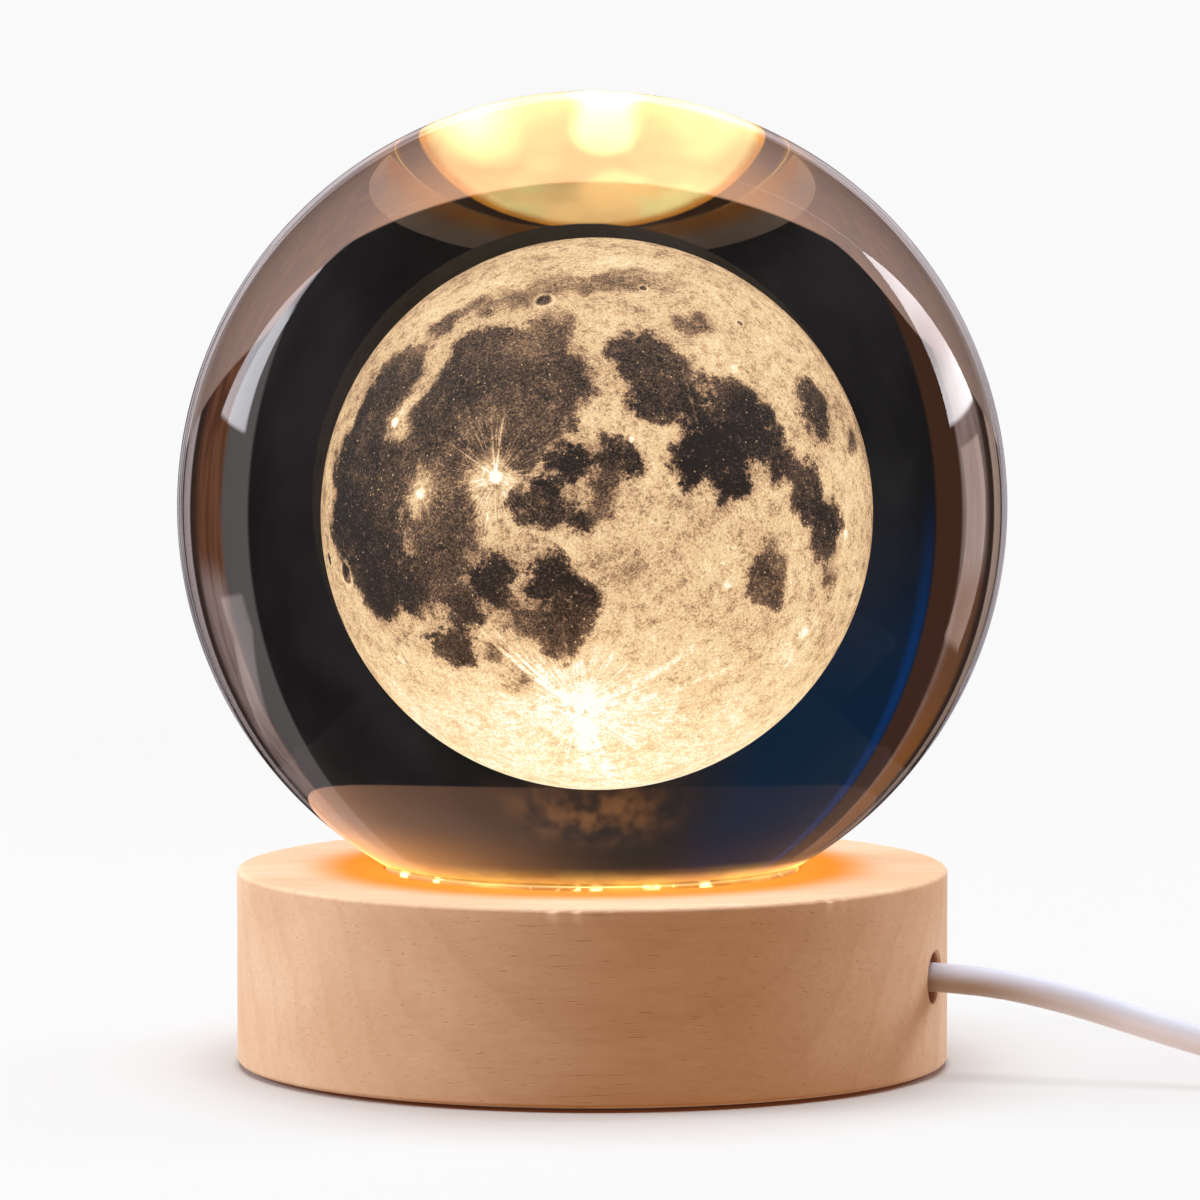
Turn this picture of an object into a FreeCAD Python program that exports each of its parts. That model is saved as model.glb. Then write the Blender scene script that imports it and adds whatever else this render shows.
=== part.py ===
import FreeCAD, Part

"""A crystal-ball moon lamp: a solid glass ball with the moon engraved inside it stands on a turned
beech base, and a ring of warm light-emitting diodes in the base shines up through its ground flat.

Frame: millimetres, +Z up, the origin on the floor under the middle of the base. A viewer in front
looks along +Y. The cable leaves the base to the right (+X) and a little towards the viewer."""

import math
import os

import Sketcher
from FreeCAD import Placement, Rotation, Vector

doc = FreeCAD.newDocument("moon_lamp")

# ---------------------------------------------------------------- driving sizes, millimetres
SIZES = (
    ("ball_diameter", 80.0, "glass ball"),
    ("flat_diameter", 40.0, "ground flat that the ball stands on"),
    ("flat_bevel", 0.3, "bevel that keeps the flat's rim from chipping"),
    ("moon_diameter", 35.0, "engraved globe inside the ball"),
    ("moon_drop", 0.5, "engraved globe below the ball's centre"),
    ("moon_side", 0.3, "engraved globe to the right of the ball's centre"),
    ("engraving_gap", 0.02, "clearance of the engraved globe in the glass"),
    ("base_diameter", 68.7, "turned beech base"),
    ("base_height", 18.7, "turned beech base"),
    ("edge_round", 0.8, "rounding of the base's two rims"),
    ("roof_thickness", 6.8, "wood left above the hollow"),
    ("well_diameter", 32.0, "opening that the light comes up through"),
    ("hollow_diameter", 50.0, "hollow routed from below"),
    ("washer_width", 3.0, "clear washer under the ball, across its band"),
    ("washer_thickness", 1.0, "clear washer"),
    ("washer_proud", 0.3, "clear washer above the wood"),
    ("washer_fit", 0.15, "clearance round the washer"),
    ("cover_diameter", 61.0, "round plate that closes the hollow"),
    ("cover_thickness", 2.0, "round plate that closes the hollow"),
    ("cover_fit", 0.15, "clearance round the cover and the pad"),
    ("pad_diameter", 64.0, "foam pad that the lamp stands on"),
    ("pad_thickness", 1.0, "foam pad"),
    ("pad_proud", 0.4, "foam pad below the wood"),
    ("outlet_diameter", 5.0, "hole in the side for the cable"),
    ("outlet_height", 9.1, "hole's centre above the wood's underside"),
    ("outlet_angle", -17.0, "hole's direction in degrees from +X, towards the viewer if negative"),
    ("cord_diameter", 2.8, "white cable"),
    ("cord_rise", 0.3, "cable's centre above the hole's centre"),
    ("cord_inner_end", 21.2, "cable jacket's inner end from the base's axis"),
    ("board_diameter", 42.0, "round circuit board"),
    ("board_thickness", 1.2, "round circuit board"),
    ("diode_count", 8, "light-emitting diodes on the board"),
    ("diode_circle", 23.0, "circle that the diodes stand on"),
    ("diode_length", 3.5, "diode package"),
    ("diode_width", 2.8, "diode package"),
    ("diode_thickness", 0.8, "diode package"),
    ("phosphor_diameter", 2.3, "yellow window in each diode"),
    ("phosphor_depth", 0.3, "yellow window in each diode"),
    ("resistor_count", 4, "series resistors on the board"),
    ("resistor_circle", 9.0, "circle that the resistors stand on"),
    ("resistor_length", 2.0, "resistor"),
    ("resistor_width", 1.25, "resistor"),
    ("resistor_thickness", 0.5, "resistor"),
    ("screw_core", 2.0, "both kinds of wood screw"),
    ("screw_fit", 0.04, "clearance of a screw in its pilot hole, on the diameter"),
    ("screw_head", 3.8, "both kinds of wood screw"),
    ("screw_point", 1.4, "length of a screw's point"),
    ("recess_width", 0.6, "one bar of the cross recess"),
    ("recess_length", 2.2, "one bar of the cross recess"),
    ("recess_depth", 0.6, "cross recess"),
    ("board_screw_count", 2, "pan-head screws that hold the board"),
    ("board_screw_circle", 37.0, "circle that they stand on"),
    ("board_screw_length", 5.0, "under the head"),
    ("board_screw_head_height", 1.3, "pan head"),
    ("cover_screw_count", 3, "countersunk screws that hold the cover"),
    ("cover_screw_circle", 55.6, "circle that they stand on"),
    ("cover_screw_length", 8.0, "whole length"),
    ("countersink_depth", 1.1, "head's cone"),
    ("solder_radius", 12.0, "solder joints' distance from the base's axis"),
    ("solder_spacing", 4.8, "between the two joints"),
    ("solder_foot", 2.6, "joint's diameter on the board"),
    ("solder_tip", 1.2, "joint's diameter at the wire"),
    ("solder_height", 1.1, "joint below the board"),
    ("lead_diameter", 1.0, "one inner wire"),
    ("lead_spacing", 1.4, "inner wires' centres at the cable's end"),
    ("lead_straight", 3.7, "inner wire straight out of the cable's end"),
    ("lead_bow", 2.85, "lowest corner of an inner wire's route, outwards from its solder joint"),
    ("lead_dip", 3.8, "the same corner below the joint"),
    ("lead_rise", 2.8, "inner wire straight up to its joint"),
    ("clamp_band", 0.9, "thickness of the cable tie's band"),
    ("clamp_width", 2.4, "width of the cable tie"),
    ("clamp_fit", 0.05, "clearance of the cable tie round the cable"),
    ("clamp_head", 4.0, "side of the cable tie's locking head"),
    ("clamp_set_back", 0.3, "cable tie from the hollow's wall"),
    ("coil_inner", 12.2, "least radius of the coil's turns, on the cable's centre"),
    ("coil_pitch", 3.3, "one turn to the next"),
    ("coil_step", 3.25, "one layer to the next"),
    ("coil_start_reach", 84.0, "where the coil starts, from the base's axis"),
    ("tie_thickness", 0.4, "flat tie round the coil"),
    ("tie_width", 3.0, "flat tie round the coil"),
    ("tie_gap", 0.15, "clearance inside the tie"),
    ("tie_angle", 120.0, "tie's place on the coil, in degrees from +X"),
    ("tie_twist_length", 9.0, "twisted ends of the tie"),
    ("tie_twist_diameter", 1.6, "twisted ends of the tie"),
    ("plug_place_x", 119.8, "cable's end at the plug's strain relief"),
    ("plug_place_y", 0.0, "cable's end at the plug's strain relief"),
    ("plug_heading", 88.0, "way that the plug points, in degrees from +X"),
    ("relief_length", 9.0, "tapered strain relief"),
    ("relief_wide", 6.0, "strain relief at the plug's grip"),
    ("relief_narrow", 4.0, "strain relief at the cable"),
    ("grip_length", 21.0, "moulded grip of the plug"),
    ("grip_width", 15.6, "moulded grip of the plug"),
    ("grip_thickness", 7.8, "moulded grip of the plug"),
    ("grip_round", 1.6, "rounding of the grip's long edges"),
    ("shell_length", 12.0, "plug's metal shell beyond the grip"),
    ("shell_width", 12.0, "plug's metal shell"),
    ("shell_height", 4.5, "plug's metal shell"),
    ("shell_wall", 0.3, "plug's metal shell"),
    ("latch_size", 2.3, "side of a latch window in the shell"),
    ("latch_spacing", 5.2, "latch windows' centres"),
    ("latch_reach", 5.2, "latch windows' centres from the grip"),
    ("tongue_length", 11.4, "insulating tongue in the shell"),
    ("tongue_thickness", 1.9, "insulating tongue in the shell"),
    ("contact_count", 4, "contacts on the tongue"),
    ("contact_spacing", 2.5, "contacts' centres"),
    ("contact_width", 1.1, "one contact"),
    ("contact_length", 7.6, "one contact"),
    ("contact_thickness", 0.2, "one contact"),
)

sheet = doc.addObject("Spreadsheet::Sheet", "Sizes")
for row, (alias, value, note) in enumerate(SIZES, start=1):
    sheet.set(f"A{row}", alias)
    sheet.set(f"B{row}", str(value))
    sheet.set(f"C{row}", note)
    sheet.setAlias(f"B{row}", alias)
doc.recompute()


def size(alias):
    """The sheet's value, for what is worked out in this file."""
    return float(sheet.get(alias))


# Heights above the floor, as expressions on the sheet.
WOOD_FOOT = "Sizes.pad_proud"
WOOD_TOP = "(Sizes.pad_proud + Sizes.base_height)"
CEILING = "(Sizes.pad_proud + Sizes.base_height - Sizes.roof_thickness)"
LEDGE = "(Sizes.pad_proud + Sizes.base_height + Sizes.washer_proud - Sizes.washer_thickness)"
BALL_FOOT = "(Sizes.pad_proud + Sizes.base_height + Sizes.washer_proud)"
BALL_RISE = "(sqrt(Sizes.ball_diameter ^ 2 - Sizes.flat_diameter ^ 2) / 2)"
BALL_CENTRE = f"({BALL_FOOT} + {BALL_RISE})"
COVER_TOP = "(Sizes.pad_thickness + Sizes.cover_thickness)"
BOARD_FOOT = f"({CEILING} - Sizes.board_thickness)"
OUTLET_UP = f"({WOOD_FOOT} + Sizes.outlet_height)"


def worth(text):
    """The number that an expression on the sheet gives."""
    return float(sheet.evalExpression(text))


# ---------------------------------------------------------------- sketches and features
def datum(body, role):
    """An origin plane or axis of a body."""
    return next(f for f in body.Origin.OriginFeatures if f.Role == role)


def new_body(name):
    """A body that may hold several separate solids, for fasteners in a ring."""
    body = doc.addObject("PartDesign::Body", name)
    body.Label = name
    body.AllowCompound = True
    return body


def new_sketch(body, name, plane, lift="0", slide="0"):
    """A sketch on an origin plane, lifted along its normal and slid along its first axis."""
    sketch = body.newObject("Sketcher::SketchObject", name)
    sketch.AttachmentSupport = [(datum(body, plane), "")]
    sketch.MapMode = "FlatFace"
    sketch.setExpression("AttachmentOffset.Base.z", lift)
    sketch.setExpression("AttachmentOffset.Base.x", slide)
    doc.recompute()
    return sketch


def pin_down(sketch, item, point, corner):
    """Ties a point of a sketch to the sheet, both ways. A coordinate of 0 puts it on the axis."""
    for kind, axis, text in (("DistanceX", -2, corner[0]), ("DistanceY", -1, corner[1])):
        if text == "0":
            sketch.addConstraint(Sketcher.Constraint("PointOnObject", item, point, axis))
            continue
        tie = Sketcher.Constraint(kind, -1, 1, item, point, worth(text))
        sketch.setExpression(f"Constraints[{sketch.addConstraint(tie)}]", text)


def outline(sketch, corners):
    """A closed outline of straight sides through corners, each a pair of expressions."""
    places = [Vector(worth(across), worth(up), 0) for across, up in corners]
    first = sketch.GeometryCount
    for k, place in enumerate(places):
        sketch.addGeometry(Part.LineSegment(place, places[(k + 1) % len(places)]))
    for k in range(len(places)):
        after = first + (k + 1) % len(places)
        sketch.addConstraint(Sketcher.Constraint("Coincident", first + k, 2, after, 1))
    for k, corner in enumerate(corners):
        pin_down(sketch, first + k, 1, corner)


def rectangle(sketch, middle, across, up):
    """An upright rectangle about a middle."""
    x, y = middle
    left, right = f"({x}) - ({across}) / 2", f"({x}) + ({across}) / 2"
    low, high = f"({y}) - ({up}) / 2", f"({y}) + ({up}) / 2"
    outline(sketch, ((left, low), (right, low), (right, high), (left, high)))


def circle(sketch, middle, diameter):
    """A circle of an expression's diameter."""
    place = Vector(worth(middle[0]), worth(middle[1]), 0)
    normal = Vector(0, 0, 1)
    item = sketch.addGeometry(Part.Circle(place, normal, worth(diameter) / 2))
    pin_down(sketch, item, 3, middle)
    tie = Sketcher.Constraint("Diameter", item, worth(diameter))
    sketch.setExpression(f"Constraints[{sketch.addConstraint(tie)}]", diameter)


def pad(body, name, sketch, height, reverse=False):
    """The sketch raised by an expression's height, along its normal unless reversed."""
    feature = body.newObject("PartDesign::Pad", name)
    feature.Profile = sketch
    feature.setExpression("Length", height)
    feature.Reversed = reverse
    doc.recompute()
    return feature


def cut(body, name, sketch, depth, reverse=False):
    """The sketch cut away: against its normal, or along it if reversed. It has to remove something."""
    before = body.Shape.Volume
    feature = body.newObject("PartDesign::Pocket", name)
    feature.Profile = sketch
    feature.setExpression("Length", depth)
    feature.Reversed = reverse
    doc.recompute()
    if not feature.Shape.Volume < before - 1e-6:
        raise RuntimeError(f"{name} cuts nothing")
    return feature


def turned(body, name, sketch):
    """The sketch turned a full circle about its own upright axis."""
    feature = body.newObject("PartDesign::Revolution", name)
    feature.Profile = sketch
    feature.ReferenceAxis = (sketch, ["V_Axis"])
    feature.Angle = 360
    doc.recompute()
    return feature


def turned_cut(body, name, sketch):
    """The sketch turned about its own upright axis and cut away."""
    before = body.Shape.Volume
    feature = body.newObject("PartDesign::Groove", name)
    feature.Profile = sketch
    feature.ReferenceAxis = (sketch, ["V_Axis"])
    feature.Angle = 360
    doc.recompute()
    if not feature.Shape.Volume < before - 1e-6:
        raise RuntimeError(f"{name} cuts nothing")
    return feature


def ring_of(body, name, features, count):
    """Features repeated evenly round the base's axis."""
    pattern = body.newObject("PartDesign::PolarPattern", name)
    pattern.Originals = features
    pattern.Axis = (datum(body, "Z_Axis"), [""])
    pattern.Angle = 360
    pattern.setExpression("Occurrences", count)
    body.Tip = pattern
    doc.recompute()
    return pattern


def rounded(body, name, radius, wanted):
    """The edges that wanted picks, rounded with an expression's radius."""
    base = body.Tip
    edges = [f"Edge{k + 1}" for k, e in enumerate(base.Shape.Edges) if wanted(e)]
    if not edges:
        raise RuntimeError(f"{name} finds no edge")
    feature = body.newObject("PartDesign::Fillet", name)
    feature.Base = (base, edges)
    feature.setExpression("Radius", radius)
    doc.recompute()
    return feature


def is_circle(edge, radius):
    """Whether an edge is a circle of this radius. A sphere's pole is an edge with no curve."""
    return (not edge.Degenerated and isinstance(edge.Curve, Part.Circle)
            and abs(edge.Curve.Radius - radius) < 1e-4)


def turn_to_outlet(piece):
    """Turns a finished piece about the base's axis, from +X to the cable's way in."""
    piece.Placement = Placement(Vector(), Rotation(Vector(0, 0, 1), size("outlet_angle")))


# ---------------------------------------------------------------- wooden base
# A beech disc turned on a lathe, bored from above for the light and routed from below for the board.
def wooden_base():
    body = new_body("wooden_base")
    profile = new_sketch(body, "base_profile", "XZ_Plane")
    pad_side = "Sizes.pad_diameter / 2 + Sizes.cover_fit"
    cover_side = "Sizes.cover_diameter / 2 + Sizes.cover_fit"
    washer_side = "Sizes.flat_diameter / 2 + Sizes.washer_fit"
    outline(profile, (
        (pad_side, WOOD_FOOT),
        ("Sizes.base_diameter / 2", WOOD_FOOT),
        ("Sizes.base_diameter / 2", WOOD_TOP),
        (washer_side, WOOD_TOP),
        (washer_side, LEDGE),
        ("Sizes.well_diameter / 2", LEDGE),
        ("Sizes.well_diameter / 2", CEILING),
        ("Sizes.hollow_diameter / 2", CEILING),
        ("Sizes.hollow_diameter / 2", COVER_TOP),
        (cover_side, COVER_TOP),
        (cover_side, "Sizes.pad_thickness"),
        (pad_side, "Sizes.pad_thickness"),
    ))
    turned(body, "base_turning", profile)
    rim = size("base_diameter") / 2
    rounded(body, "base_rims", "Sizes.edge_round", lambda edge: is_circle(edge, rim))
    outlet = new_sketch(body, "outlet_outline", "XZ_Plane")
    outlet.AttachmentOffset = Placement(Vector(), Rotation(Vector(0, 1, 0), 90))
    outlet.setExpression("AttachmentOffset.Rotation.Angle", "90 + Sizes.outlet_angle")
    doc.recompute()
    circle(outlet, ("0", OUTLET_UP), "Sizes.outlet_diameter")
    cut(body, "outlet", outlet, "Sizes.base_diameter", reverse=True)
    pilot = "Sizes.screw_core + Sizes.screw_fit"
    below = new_sketch(body, "cover_pilot_outline", "XY_Plane", lift=COVER_TOP)
    circle(below, ("Sizes.cover_screw_circle / 2", "0"), pilot)
    depth = "Sizes.cover_screw_length - Sizes.cover_thickness + Sizes.screw_fit"
    hole = cut(body, "cover_pilot", below, depth, reverse=True)
    ring_of(body, "cover_pilots", [hole], "Sizes.cover_screw_count")
    above = new_sketch(body, "board_pilot_outline", "XY_Plane", lift=CEILING)
    circle(above, ("0", "Sizes.board_screw_circle / 2"), pilot)
    depth = "Sizes.board_screw_length - Sizes.board_thickness + Sizes.screw_fit"
    hole = cut(body, "board_pilot", above, depth, reverse=True)
    ring_of(body, "board_pilots", [hole], "Sizes.board_screw_count")
    return body


# ---------------------------------------------------------------- underside: pad, cover, its screws
def base_pad():
    disc = doc.addObject("Part::Cylinder", "base_pad")
    disc.Label = "base_pad"
    disc.setExpression("Radius", "Sizes.pad_diameter / 2")
    disc.setExpression("Height", "Sizes.pad_thickness")
    return disc


def bottom_cover():
    body = new_body("bottom_cover")
    disc = new_sketch(body, "cover_outline", "XY_Plane", lift="Sizes.pad_thickness")
    circle(disc, ("0", "0"), "Sizes.cover_diameter")
    pad(body, "cover_disc", disc, "Sizes.cover_thickness")
    sink = new_sketch(body, "countersink_profile", "XZ_Plane", slide="Sizes.cover_screw_circle / 2")
    outline(sink, (
        ("0", "Sizes.pad_thickness"),
        ("(Sizes.screw_head + Sizes.screw_fit) / 2", "Sizes.pad_thickness"),
        ("(Sizes.screw_core + Sizes.screw_fit) / 2", "Sizes.pad_thickness + Sizes.countersink_depth"),
        ("(Sizes.screw_core + Sizes.screw_fit) / 2", COVER_TOP),
        ("0", COVER_TOP),
    ))
    hole = turned_cut(body, "countersink", sink)
    ring_of(body, "countersinks", [hole], "Sizes.cover_screw_count")
    return body


def cross_recess(body, name, lift, middle, up):
    """The recess for a cross-head driver, cut into a head from below (up) or above."""
    across = new_sketch(body, f"{name}_outline", "XY_Plane", lift=lift)
    wide = "Sizes.recess_width / 2"
    long = "Sizes.recess_length / 2"
    x, y = middle
    plus = ((wide, wide), (wide, long), (f"-{wide}", long), (f"-{wide}", wide), (f"-{long}", wide),
            (f"-{long}", f"-{wide}"), (f"-{wide}", f"-{wide}"), (f"-{wide}", f"-{long}"),
            (wide, f"-{long}"), (wide, f"-{wide}"), (long, f"-{wide}"), (long, wide))
    outline(across, [(f"{x} + ({a})", f"{y} + ({b})") for a, b in plus])
    return cut(body, name, across, "Sizes.recess_depth", reverse=up)


def cover_screws():
    body = new_body("cover_screws")
    profile = new_sketch(body, "cover_screw_profile", "XZ_Plane", slide="Sizes.cover_screw_circle / 2")
    tip = "Sizes.pad_thickness + Sizes.cover_screw_length"
    outline(profile, (
        ("0", "Sizes.pad_thickness"),
        ("Sizes.screw_head / 2", "Sizes.pad_thickness"),
        ("Sizes.screw_core / 2", "Sizes.pad_thickness + Sizes.countersink_depth"),
        ("Sizes.screw_core / 2", f"{tip} - Sizes.screw_point"),
        ("0", tip),
    ))
    screw = turned(body, "cover_screw", profile)
    middle = ("Sizes.cover_screw_circle / 2", "0")
    recess = cross_recess(body, "cover_screw_recess", "Sizes.pad_thickness", middle, up=True)
    ring_of(body, "cover_screw_ring", [screw, recess], "Sizes.cover_screw_count")
    return body


# ---------------------------------------------------------------- board and what is on it
def led_board():
    body = new_body("led_board")
    disc = new_sketch(body, "board_outline", "XY_Plane", lift=BOARD_FOOT)
    circle(disc, ("0", "0"), "Sizes.board_diameter")
    pad(body, "board_disc", disc, "Sizes.board_thickness")
    through = new_sketch(body, "board_hole_outline", "XY_Plane", lift=BOARD_FOOT)
    circle(through, ("0", "Sizes.board_screw_circle / 2"), "Sizes.screw_core + Sizes.screw_fit")
    hole = cut(body, "board_hole", through, "Sizes.board_thickness", reverse=True)
    ring_of(body, "board_holes", [hole], "Sizes.board_screw_count")
    return body


def board_screws():
    body = new_body("board_screws")
    profile = new_sketch(body, "board_screw_profile", "YZ_Plane", slide="Sizes.board_screw_circle / 2")
    face = f"{BOARD_FOOT} - Sizes.board_screw_head_height"
    tip = f"{BOARD_FOOT} + Sizes.board_screw_length"
    outline(profile, (
        ("0", face),
        ("Sizes.screw_head / 2", face),
        ("Sizes.screw_head / 2", BOARD_FOOT),
        ("Sizes.screw_core / 2", BOARD_FOOT),
        ("Sizes.screw_core / 2", f"{tip} - Sizes.screw_point"),
        ("0", tip),
    ))
    screw = turned(body, "board_screw", profile)
    middle = ("0", "Sizes.board_screw_circle / 2")
    recess = cross_recess(body, "board_screw_recess", face, middle, up=True)
    ring_of(body, "board_screw_ring", [screw, recess], "Sizes.board_screw_count")
    return body


def leds():
    body = new_body("leds")
    middle = ("Sizes.diode_circle / 2", "0")
    package = new_sketch(body, "diode_outline", "XY_Plane", lift=CEILING)
    rectangle(package, middle, "Sizes.diode_width", "Sizes.diode_length")
    box = pad(body, "diode", package, "Sizes.diode_thickness")
    window = new_sketch(body, "window_outline", "XY_Plane", lift=f"{CEILING} + Sizes.diode_thickness")
    circle(window, middle, "Sizes.phosphor_diameter")
    pocket = cut(body, "window", window, "Sizes.phosphor_depth")
    ring_of(body, "diode_ring", [box, pocket], "Sizes.diode_count")
    return body


def led_phosphors():
    body = new_body("led_phosphors")
    top = f"{CEILING} + Sizes.diode_thickness"
    window = new_sketch(body, "phosphor_outline", "XY_Plane", lift=top)
    circle(window, ("Sizes.diode_circle / 2", "0"), "Sizes.phosphor_diameter")
    disc = pad(body, "phosphor", window, "Sizes.phosphor_depth", reverse=True)
    ring_of(body, "phosphor_ring", [disc], "Sizes.diode_count")
    return body


def resistors():
    body = new_body("resistors")
    chip = new_sketch(body, "resistor_outline", "XY_Plane", lift=CEILING)
    middle = ("Sizes.resistor_circle / 2", "0")
    rectangle(chip, middle, "Sizes.resistor_length", "Sizes.resistor_width")
    box = pad(body, "resistor", chip, "Sizes.resistor_thickness")
    ring_of(body, "resistor_ring", [box], "Sizes.resistor_count")
    return body


def solder_joints():
    """Two blobs under the board, side by side across the cable's direction."""
    cones = []
    for k, side in enumerate((-1, 1)):
        cone = doc.addObject("Part::Cone", f"solder_{k + 1}")
        cone.setExpression("Radius1", "Sizes.solder_tip / 2")
        cone.setExpression("Radius2", "Sizes.solder_foot / 2")
        cone.setExpression("Height", "Sizes.solder_height")
        cone.setExpression("Placement.Base.x", "Sizes.solder_radius")
        cone.setExpression("Placement.Base.y", f"{side} * Sizes.solder_spacing / 2")
        cone.setExpression("Placement.Base.z", f"{BOARD_FOOT} - Sizes.solder_height")
        cones.append(cone)
    pair = doc.addObject("Part::Compound", "solder_joints")
    pair.Label = "solder_joints"
    pair.Links = cones
    turn_to_outlet(pair)
    return pair


# ---------------------------------------------------------------- tubes along a route
def corner_arc(before, corner, after):
    """The arc that rounds a corner: 0.45 of the shorter run, over the tangent of half the turn."""
    to_before = before - corner
    to_after = after - corner
    shorter = min(to_before.Length, to_after.Length)
    turn = math.pi - to_before.getAngle(to_after)
    leave = 0.45 * shorter
    start = corner + Vector(to_before).normalize() * leave
    end = corner + Vector(to_after).normalize() * leave
    inward = (start + end) * 0.5 - corner
    radius = leave / math.tan(turn / 2)
    reach = radius / math.cos(turn / 2) - radius
    middle = corner + inward.normalize() * reach
    return start, middle, end, radius


def rounded_route(points):
    """Straight runs joined by tangent arcs, with the arcs' radii."""
    edges = []
    radii = []
    at = points[0]
    for k in range(1, len(points) - 1):
        start, middle, end, radius = corner_arc(points[k - 1], points[k], points[k + 1])
        edges.append(Part.LineSegment(at, start).toShape())
        edges.append(Part.Arc(start, middle, end).toShape())
        radii.append(radius)
        at = end
    edges.append(Part.LineSegment(at, points[-1]).toShape())
    return Part.Wire(edges), radii


def swept(path, start, heading, diameter):
    """A round tube along a path, checked against its section times its length."""
    section = Part.Wire([Part.Circle(start, heading, diameter / 2).toShape()])
    solid = path.makePipeShell([section], True, False)
    expected = math.pi * diameter ** 2 / 4 * path.Length
    if abs(solid.Volume / expected - 1) > 0.01:
        raise RuntimeError(f"tube volume {solid.Volume:.1f}, expected {expected:.1f}")
    return solid


def tube(label, points, diameter):
    """A soft piece along a route, as a feature of its own."""
    path, radii = rounded_route(points)
    feature = doc.addObject("Part::Feature", label)
    feature.Label = label
    feature.Shape = swept(path, points[0], points[1] - points[0], diameter)
    feature.Placement = Placement()
    tightest = ", ".join(f"{radius:.1f}" for radius in radii)
    print(f"{label}: length {path.Length:.1f} mm, radii {tightest} mm")
    return feature


# The way out of the base: along it, across it to the left, and up.
outlet_angle = math.radians(size("outlet_angle"))
OUT = Vector(math.cos(outlet_angle), math.sin(outlet_angle), 0)
ASIDE = Vector(-OUT.y, OUT.x, 0)
UP = Vector(0, 0, 1)
CORD_UP = worth(OUTLET_UP) + size("cord_rise")


def spot(reach, aside, height):
    """A point by its distance along the outlet's direction, its place to the left of it, its height."""
    return OUT * reach + ASIDE * aside + UP * height


def lead(label, side):
    """An inner wire, square out of the cable's end, then down and back up to its solder joint."""
    joint = worth(BOARD_FOOT) - size("solder_height")
    apart = side * size("solder_spacing") / 2
    beside = side * size("lead_spacing") / 2
    foot = size("solder_radius")
    points = (
        spot(size("cord_inner_end"), beside, CORD_UP),
        spot(size("cord_inner_end") - size("lead_straight"), beside, CORD_UP),
        spot(foot + size("lead_bow"), (apart + beside) / 2, joint - size("lead_dip")),
        spot(foot, apart, joint - size("lead_rise")),
        spot(foot, apart, joint),
    )
    return tube(label, points, size("lead_diameter"))


def cable_clamp():
    """The small nylon tie round the cable inside the wall, which keeps it from being pulled out."""
    band = doc.addObject("Part::Cylinder", "clamp_band_outside")
    band.setExpression("Radius", "Sizes.cord_diameter / 2 + Sizes.clamp_fit + Sizes.clamp_band")
    band.setExpression("Height", "Sizes.clamp_width")
    head = doc.addObject("Part::Box", "clamp_lock")
    head.setExpression("Length", "Sizes.clamp_head")
    head.setExpression("Width", "Sizes.clamp_head")
    head.setExpression("Height", "Sizes.clamp_width")
    head.setExpression("Placement.Base.x", "-Sizes.clamp_head / 2")
    head.setExpression("Placement.Base.y", "Sizes.cord_diameter / 2 + Sizes.clamp_fit")
    both = doc.addObject("Part::Fuse", "clamp_outside")
    both.Base = band
    both.Tool = head
    bore = doc.addObject("Part::Cylinder", "clamp_bore")
    bore.setExpression("Radius", "Sizes.cord_diameter / 2 + Sizes.clamp_fit")
    bore.setExpression("Height", "Sizes.clamp_width")
    tie = doc.addObject("Part::Cut", "cable_clamp")
    tie.Label = "cable_clamp"
    tie.Base = both
    tie.Tool = bore
    facing = Rotation(Vector(), UP * -1, OUT, "ZYX")
    reach = "Sizes.hollow_diameter / 2 - Sizes.clamp_set_back - Sizes.clamp_width"
    tie.Placement = Placement(spot(worth(reach), 0, CORD_UP), facing)
    return tie


# ---------------------------------------------------------------- cable
# The coil lies on the tie that holds it, so its lowest turns run a tie's thickness above the floor.
COIL_UP = size("cord_diameter") / 2 + size("tie_thickness") + 2 * size("tie_gap")
COIL_TURNS = (2.5, 2.5, 2.5, 2.0)
CLIMB_TURNS = 0.5
STATION_TURNS = 0.25


def coil_stations():
    """Points and headings along the coil, and whether the stretch to the next one climbs a layer.

    The layers spiral in and out in turn at one pitch. Each reversal is a half turn that climbs."""
    outer = size("coil_inner") + COIL_TURNS[0] * size("coil_pitch")
    middle = spot(size("coil_start_reach"), outer, COIL_UP)
    angle = math.atan2(-ASIDE.y, -ASIDE.x)
    slope = size("coil_pitch") / (2 * math.pi)
    radius = outer
    height = 0.0
    stations = []
    for layer, turns in enumerate(COIL_TURNS):
        way = -1 if layer % 2 == 0 else 1
        steps = round(turns / STATION_TURNS)
        for step in range(steps + 1):
            away = Vector(math.cos(angle), math.sin(angle), 0)
            along = Vector(-away.y, away.x, 0)
            heading = (away * (way * slope) + along * radius).normalize()
            climbs = step == steps
            stations.append((middle + away * radius + UP * height, heading, climbs))
            if not climbs:
                angle += 2 * math.pi * STATION_TURNS
                radius += way * size("coil_pitch") * STATION_TURNS
        angle += 2 * math.pi * CLIMB_TURNS
        height += size("coil_step")
    return middle, stations


def arc_from(start, heading, end):
    """The arc that leaves start along heading and reaches end."""
    chord = end - start
    side = chord - heading * chord.dot(heading)
    side.normalize()
    radius = chord.Length ** 2 / (2 * chord.dot(side))
    centre = start + side * radius
    middle = centre + ((start - centre) + (end - centre)).normalize() * radius
    return Part.Arc(start, middle, end)


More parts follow.
